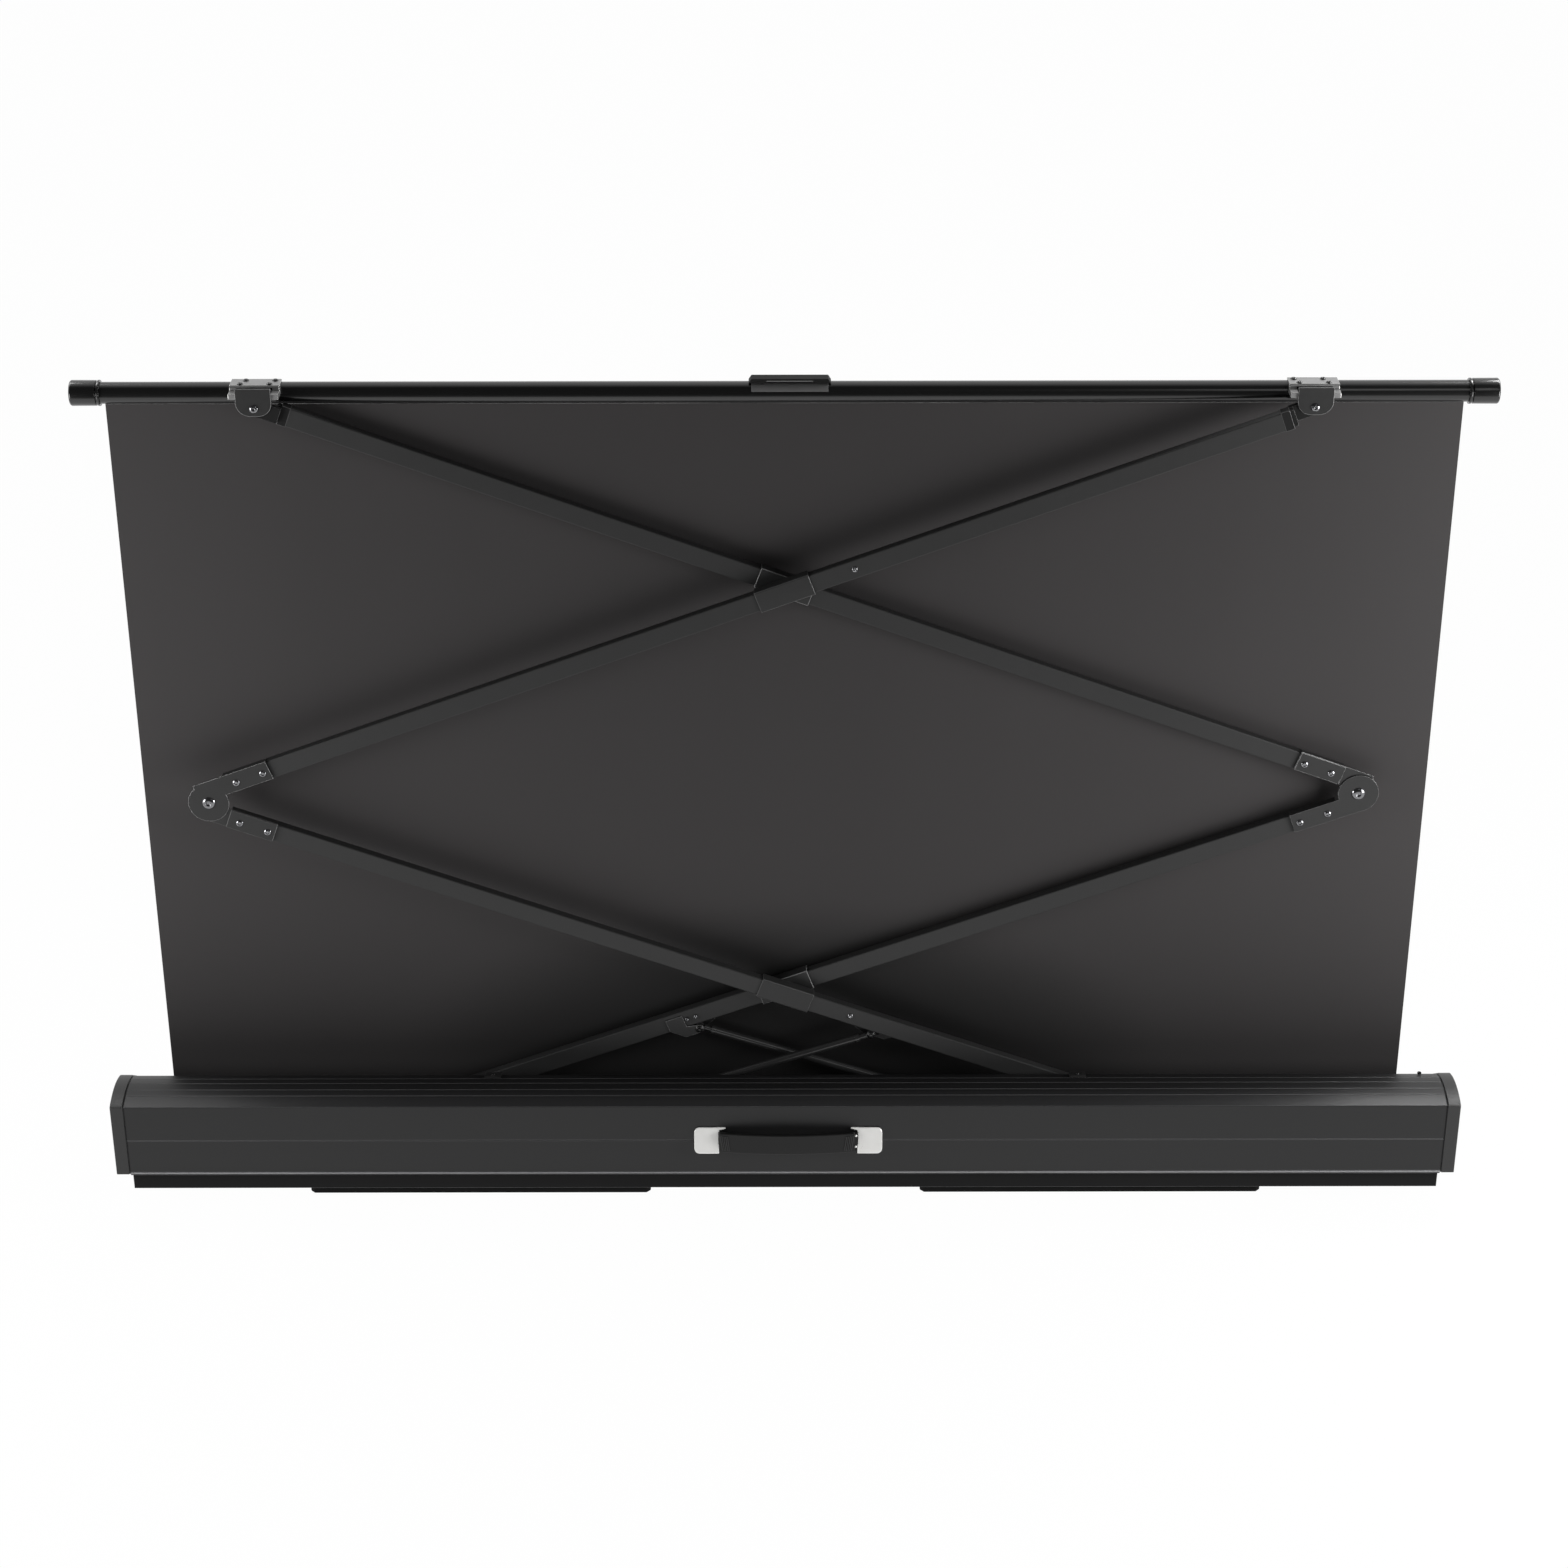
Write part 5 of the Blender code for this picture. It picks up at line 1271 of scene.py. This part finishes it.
class SCREEN_OT_top_bar(Operator):
    """Dress the top tube, its caps, saddles, ears, pivot pins and pull handle."""

    bl_idname = "screen.top_bar"
    bl_label = "Dress the top bar"
    TUBE_DISH = 0.0003
    TUBE_WALL = 0.0017
    TUBE_ROUNDING = 0.0004
    CAP_SEAT = 0.0003
    CAP_FLARE = 0.0007
    CAP_LIP = (
        (0, 0.0003), (0.0012, 0), (0.0034, 0.0002),
        (0.0036, 0.0034), (0.0052, 0.0034), (0.0054, 0.0004),
    )
    CAP_END = ((0.0022, 0.0002), (0.0003, 0.0016), (0, 0.0036))
    CAP_ROUNDING = 0.0006
    PANEL_TURNS = range(20, 81, 5)
    PANEL_SKIN = (0.0009, 0.0002)
    PANEL_INSET = 0.0040
    PIN_DISH = ((0.0020, 0), (0.0018, 0.0018), (0, 0.0023), (0.0004, 0.0040))
    PIN_SHOULDER = 0.0014
    PIN_SHOULDER_SHARE = 0.95
    PIN_HEAD = 0.0024
    PIN_SHANK = 0.0040
    PIN_ROUNDING = 0.0005
    SCREW_SPREAD = 0.020
    SCREW_ROWS = ((0, 0.0215), (0.006, 0.0065))

    def execute(self, context):
        soft = sizes().edge
        low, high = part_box("top_tube")
        centre = (low + high) / 2
        radius = (high.z - low.z) / 2
        rounding = self.TUBE_ROUNDING
        end = [(self.TUBE_DISH, 0), (0, radius - self.TUBE_WALL), (0, radius - rounding), (rounding, radius)]
        start = (low.x, centre.y, centre.z)
        turned("top_tube", mirrored(end, high.x - low.x), start, (1, 0, 0), "tube", 64)
        for side in SIDES:
            self.cap(side, centre, radius)
            # The saddle's finish paints near-black shade under its plate.
            dress("top_saddle_" + side, "saddle", soft * 1.2, 3, 25.0, "bright_edge")
            self.ear(side)
            self.pin(side)
            self.saddle_screws(side)
        dress("pull_handle", "boot", soft * 1.1)
        self.pull_panel(centre, radius)
        return {"FINISHED"}

    def cap(self, side, centre, radius):
        """Cup on one end of the tube: a flared lip, a groove and a chamfered end."""
        node = "top_cap_" + side
        low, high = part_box(node)
        way = SIDES[side]
        end = end_of(node, way)
        rim = (high.z - low.z) / 2 + self.CAP_FLARE
        length = abs(end - centre.x) - abs(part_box("top_tube")[1].x - centre.x)
        points = [(self.CAP_SEAT, 0), (self.CAP_SEAT, radius)]
        points += [(station, rim - drop) for station, drop in self.CAP_LIP]
        points += [(length - station, rim - drop) for station, drop in self.CAP_END]
        points.append((length, 0))
        start = (end - way * length, centre.y, centre.z)
        turned(node, rounded_profile(points, self.CAP_ROUNDING), start, (way, 0, 0), "tube", 64)

    def ear(self, side):
        """Hanging ear with round lower corners."""
        node = "top_ear_" + side
        low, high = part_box(node)
        radius = sizes().ear_corner
        outline = [(low.x, high.z)] + corner((low.x + radius, low.z + radius), radius, 180, 8)
        outline += corner((high.x - radius, low.z + radius), radius, 270, 8) + [(high.x, high.z)]
        mesh = slab(node, outline, low.y, high.y, facing_back)
        # The ear's rim takes a painted highlight.
        stand_in(node, mesh, "bracket", sizes().edge, rim="edge", segments=2)

    def pull_panel(self, centre, radius):
        """Grey skin on the tube in front of the pull handle's frame."""
        low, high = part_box("pull_handle")
        turns = [math.radians(angle) for angle in self.PANEL_TURNS]
        outer, inner = (radius + rise for rise in self.PANEL_SKIN)
        skin = [(-math.cos(turn) * outer, math.sin(turn) * outer) for turn in turns]
        skin += [(-math.cos(turn) * inner, math.sin(turn) * inner) for turn in reversed(turns)]

        def place(across, up, along):
            return Vector((along, centre.y + across, centre.z + up))

        mesh = slab("pull_panel", skin, low.x + self.PANEL_INSET, high.x - self.PANEL_INSET, place)
        shaped("pull_panel", mesh, "panel", sizes().edge * 0.5, "top_bar", "black_plastic")

    def pin(self, side):
        """Pivot pin through an ear, with a dished head."""
        node = "top_pin_" + side
        low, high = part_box(node)
        radius = (high.x - low.x) / 2
        length = high.y - low.y
        points = [*self.PIN_DISH, (self.PIN_SHOULDER, radius * self.PIN_SHOULDER_SHARE)]
        points += [(self.PIN_HEAD, radius), (self.PIN_HEAD, self.PIN_SHANK)]
        points += [(length, self.PIN_SHANK), (length, 0)]
        turned_pin(node, points, self.PIN_ROUNDING)

    def saddle_screws(self, side):
        """Four pan screws in two rows on a saddle's top plate."""
        low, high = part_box("top_saddle_" + side)
        size = sizes()
        places = []
        for inward, inset in self.SCREW_ROWS:
            middle = (low.x + high.x) / 2 - SIDES[side] * inward
            for way in (-1, 1):
                x = middle + way * self.SCREW_SPREAD
                places.append((Vector((x, high.y - inset, high.z)), (0, 0, 1)))
        fasten("top_saddle_screws_" + side, places, (size.screw, size.dome), True, "bolt", "top_bar")


class SCREEN_OT_handle(Operator):
    """Make the carry handle: bowed ribbed grip, two plated caps, their cores and studs."""

    bl_idname = "screen.handle"
    bl_label = "Make the carry handle"
    GRIP_EDGE = 0.0016
    CAP_EDGE = 0.0010
    CAP_CORNER = 0.0077
    CAP_LEAST_DEPTH = 0.0022
    LIP_EDGE = 0.0003
    LIP_ROOT = 0.0020
    LIP_REACH = 0.0095
    LIP_HEIGHTS = (0.0040, 0.0014)
    CORE_EDGE = 0.0004
    CORE_REACH = (0.0052, -0.0010)
    CORE_FOOT = 0.0020
    CORE_TOP = 0.0060
    CORE_SETBACK = 0.0045
    STUD = (0.0019, 0.0016)
    STUD_INSET = 0.0022
    STUD_RISES = (0.0095, 0.0285)
    RIB_EDGE = 0.0004
    RIB_HALF = (0.0007, 0.0125)
    RIB_DEPTH = 0.0015
    RIB_SUNK = 0.0003
    RIB_START = 0.0035
    RIB_PITCH = 0.00265

    def execute(self, context):
        for side in SIDES:
            self.cap(side)
            self.core(side)
        low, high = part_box("handle_grip")
        share = 1 - sizes().grip_gap / (high.x - low.x)
        end = Vector((low.x, 0, 0))
        shorter = Matrix.Translation(end) @ Matrix.Scale(share, 4, (1, 0, 0)) @ Matrix.Translation(-end)
        grip = dress("handle_grip", "grip", self.GRIP_EDGE, 4, 40.0)
        grip.data.transform(shorter)
        self.ribs(shorter)
        return {"FINISHED"}

    def cap(self, side):
        """Plated cap that leans back to the wall, with round outer corners and a lip over the grip."""
        node = "handle_cap_" + side
        low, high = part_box(node)
        way = SIDES[side]
        inner = end_of(node, -way)
        radius = self.CAP_CORNER
        outline = [(inner, low.z)]
        for height, start in ((low.z + radius, -90), (high.z - radius, 0)):
            quarter = corner((way * end_of(node, way) - radius, height), radius, start)
            outline += [(a * way, b) for a, b in quarter]
        outline.append((inner, high.z))
        lean = (high.y - low.y - self.CAP_LEAST_DEPTH) / (high.z - low.z)

        def leaning(a, b, depth):
            return Vector((a, high.y if depth else low.y + (b - low.z) * lean, b))

        stand_in(node, slab(node, outline, 0, 1, leaning), "nickel", self.CAP_EDGE)
        root = inner + way * self.LIP_ROOT
        tip = inner - way * self.LIP_REACH
        thick, thin = self.LIP_HEIGHTS
        lip = [(root, high.z - thick), (tip, high.z - thin), (tip, high.z), (root, high.z)]
        mesh = slab("handle_lip_" + side, lip, 0, 1, leaning)
        shaped("handle_lip_" + side, mesh, "nickel", self.LIP_EDGE, "housing", slot_of(node))

    def core(self, side):
        """Black core between a cap and the grip, and two studs on it."""
        node = "handle_cap_" + side
        low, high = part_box(node)
        way = SIDES[side]
        inner = end_of(node, -way)
        near, far = (inner - way * reach for reach in self.CORE_REACH)
        foot = low.z + self.CORE_FOOT
        top = high.z - self.CORE_TOP
        back = low.y + self.CORE_SETBACK
        outline = [(near, foot), (far, foot), (far, top), (near, top)]
        mesh = slab("handle_core_" + side, outline, back, high.y, facing_back)
        shaped("handle_core_" + side, mesh, "grip", self.CORE_EDGE, "housing", "black_plastic")
        x = inner - way * self.STUD_INSET
        places = [(Vector((x, back, low.z + rise)), (0, -1, 0)) for rise in self.STUD_RISES]
        fasten("handle_studs_" + side, places, self.STUD, False, "nickel", "housing")

    def ribs(self, shorter):
        """Ribs across both ends of the grip, standing on its bowed face."""
        size = sizes()
        low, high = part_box("handle_grip")
        middle = (low + high) / 2
        half = (high.x - low.x) / 2
        places = []
        for way in (-1, 1):
            for index in range(size.grip_ribs):
                x = way * (half - self.RIB_START - self.RIB_PITCH * index)
                y = low.y + size.grip_bow * (x / half) ** 2 + self.RIB_SUNK
                slope = 2 * size.grip_bow * x / half ** 2
                places.append((shorter @ Vector((middle.x + x, y, middle.z)), (slope, -1, 0)))
        wide, tall = self.RIB_HALF
        outline = [(-wide, -tall), (wide, -tall), (wide, tall), (-wide, tall)]
        rib = slab("rib", outline, 0.0, self.RIB_DEPTH, lambda a, b, depth: Vector((a, b, depth)))
        scatter("grip_ribs", places, soften(rib, self.RIB_EDGE), "cap", "housing")


class SCREEN_OT_feet(Operator):
    """Dress the swivel feet."""

    bl_idname = "screen.feet"
    bl_label = "Dress the feet"
    FOOT_EDGE = 0.0015

    def execute(self, context):
        for side in SIDES:
            dress("foot_" + side, "rubber", self.FOOT_EDGE, 3)
        return {"FINISHED"}


class SCREEN_OT_stage(Operator):
    """Make the pale floor, the studio light and the camera."""

    bl_idname = "screen.stage"
    bl_label = "Make the stage"
    FLOOR_HALF = 14.0
    FLOOR_GLOW = 0.985
    BOUNCE_GAIN = 0.6
    FADE_Y = (-2.1, -1.8)
    FADE_UP = (-0.3, 0.3)
    DIMMEST = 0.06
    BEHIND = (0.03, 1.0)
    LAMPS = (
        # name, place, target, width and power
        ("left_softbox", (-1.95, -0.8, 0.85), (-0.5, 0, 0.7), 0.9, 23.0),
        ("right_softbox", (1.95, -0.8, 0.85), (0.5, 0, 0.7), 0.9, 39.0),
        ("left_rim_light", (-1.6, 0.5, 2.2), (-0.8, 0, 0.2), 0.6, 10.0),
        ("right_rim_light", (1.6, 0.5, 2.2), (0.8, 0, 0.2), 0.6, 30.0),
        ("high_fill", (1.4, -2.6, 2.9), (0.2, 0, 0.3), 0.9, 3.0),
    )
    SENSOR = 36.0
    LENS = 73.495
    LENS_SHIFT = 0.0022
    CAMERA_X = -0.0062
    CAMERA_BACK = 4.1249
    CAMERA_HEIGHT = 2.730
    CAMERA_TILT = 26.82
    CAMERA_ROLL = -0.09
    NEAREST = 0.05
    FARTHEST = 60.0

    def execute(self, context):
        self.floor()
        self.world(context.scene)
        for lamp in self.LAMPS:
            self.lamp(*lamp)
        self.camera(context.scene)
        context.scene.view_settings.view_transform = "Standard"
        return {"FINISHED"}

    def floor(self):
        """Pale floor that glows white to the camera, with a trace of the object's shadow."""
        bm = bmesh.new()
        bmesh.ops.create_grid(bm, x_segments=2, y_segments=2, size=self.FLOOR_HALF)
        mat = Mat("studio_floor")
        tone = mat.mix(mat.noise(0.7), (0.80, 0.80, 0.80), (0.84, 0.84, 0.84))
        mat.done(Base_Color=tone, Roughness=0.8)
        seen = mat.node("ShaderNodeLightPath", out="Is Camera Ray")
        bounced = seen.other("Is Diffuse Ray")
        near = mat.step(mat.axis("Y"), *self.FADE_Y)
        share = seen.highest(seen.other("Is Transmission Ray")).highest(seen.other("Is Glossy Ray") * near)
        share = (share * self.FLOOR_GLOW).highest(bounced * near)
        feeds = {"Color": (1, 1, 1), "Strength": bounced * self.BOUNCE_GAIN + 1.0}
        glow = mat.node("ShaderNodeEmission", None, feeds)
        plain = Value(mat, mat.shader.outputs[0])
        blend = mat.node("ShaderNodeMixShader", None, {0: share, 1: plain, 2: glow})
        mat.feed(mat.tree.nodes["Material Output"].inputs["Surface"], blend)
        floor = link("studio_floor", meshed(bm, "studio_floor"), mat.material)

    def world(self, scene):
        """Dim surround that is white to the camera and white behind the screen in reflections."""
        world = bpy.data.worlds.new("studio")
        scene.world = world
        world.use_nodes = True
        graph = Graph(world.node_tree)
        plain = graph.tree.nodes["Background"]
        seen = graph.node("ShaderNodeLightPath", out="Is Camera Ray")
        place = graph.node("ShaderNodeTexCoord", out="Generated")
        feeds = {"Value": graph.node("ShaderNodeSeparateXYZ", None, {"Vector": place}, "Y")}
        feeds.update(zip(("From Min", "From Max", "To Min", "To Max"), (*self.FADE_UP, *self.BEHIND)))
        behind = seen.other("Is Glossy Ray") * graph.node("ShaderNodeMapRange", None, feeds)
        level = seen.highest(seen.other("Is Transmission Ray")).highest(behind).highest(self.DIMMEST)
        graph.feed(plain.inputs["Color"], (1, 1, 1))
        graph.feed(plain.inputs["Strength"], level)

    def lamp(self, name, place, target, width, power):
        """Area lamp turned to a target."""
        data = bpy.data.lights.new(name, "AREA")
        data.shape = "SQUARE"
        data.size = width
        data.energy = power
        made = bpy.data.objects.new(name, data)
        bpy.context.scene.collection.objects.link(made)
        made.location = place
        made.rotation_euler = (Vector(target) - Vector(place)).to_track_quat("-Z", "Y").to_euler()

    def camera(self, scene):
        """Camera at the photograph's place, behind and above the screen."""
        data = bpy.data.cameras.new("view_from_behind")
        data.sensor_fit = "HORIZONTAL"
        data.sensor_width = self.SENSOR
        data.lens = self.LENS
        data.shift_x = self.LENS_SHIFT
        data.clip_start = self.NEAREST
        data.clip_end = self.FARTHEST
        camera = bpy.data.objects.new("view_from_behind", data)
        scene.collection.objects.link(camera)
        camera.location = (self.CAMERA_X, CLOTH_Y - self.CAMERA_BACK, self.CAMERA_HEIGHT)
        tilt = Matrix.Rotation(math.radians(90.0 - self.CAMERA_TILT), 4, "X")
        roll = Matrix.Rotation(math.radians(self.CAMERA_ROLL), 4, "Z")
        camera.rotation_euler = (tilt @ roll).to_euler()
        scene.camera = camera


class SCREEN_PT_panel(Panel):
    """Lists the screen's pieces and settings."""

    bl_label = "Pull Up Screen"
    bl_idname = "SCREEN_PT_panel"
    bl_space_type = "VIEW_3D"
    bl_region_type = "UI"
    bl_category = "Screen"

    def draw(self, context):
        layout = self.layout
        for operator in OPERATORS:
            layout.operator(operator.bl_idname)
        for group in (context.scene.screen_sizes, context.scene.screen_colours):
            box = layout.box()
            for name in group.bl_rna.properties.keys():
                if name not in ("rna_type", "name"):
                    box.prop(group, name)


OPERATORS = (
    SCREEN_OT_housing,
    SCREEN_OT_roller,
    SCREEN_OT_cloth,
    SCREEN_OT_arms,
    SCREEN_OT_rivets,
    SCREEN_OT_struts,
    SCREEN_OT_top_bar,
    SCREEN_OT_handle,
    SCREEN_OT_feet,
    SCREEN_OT_stage,
)
CLASSES = (ScreenSizes, ScreenColours, *OPERATORS, SCREEN_PT_panel)


def register():
    """Register every class and attach the settings to the scene."""
    for item in CLASSES:
        bpy.utils.register_class(item)
    bpy.types.Scene.screen_sizes = PointerProperty(type=ScreenSizes)
    bpy.types.Scene.screen_colours = PointerProperty(type=ScreenColours)


def unregister():
    """Remove the settings and every class."""
    del bpy.types.Scene.screen_colours
    del bpy.types.Scene.screen_sizes
    for item in reversed(CLASSES):
        bpy.utils.unregister_class(item)


def main():
    """Make every piece in order."""
    register()
    for operator in OPERATORS:
        name = operator.bl_idname.split(".")[1]
        getattr(bpy.ops.screen, name)()


if __name__ == "__main__":
    main()
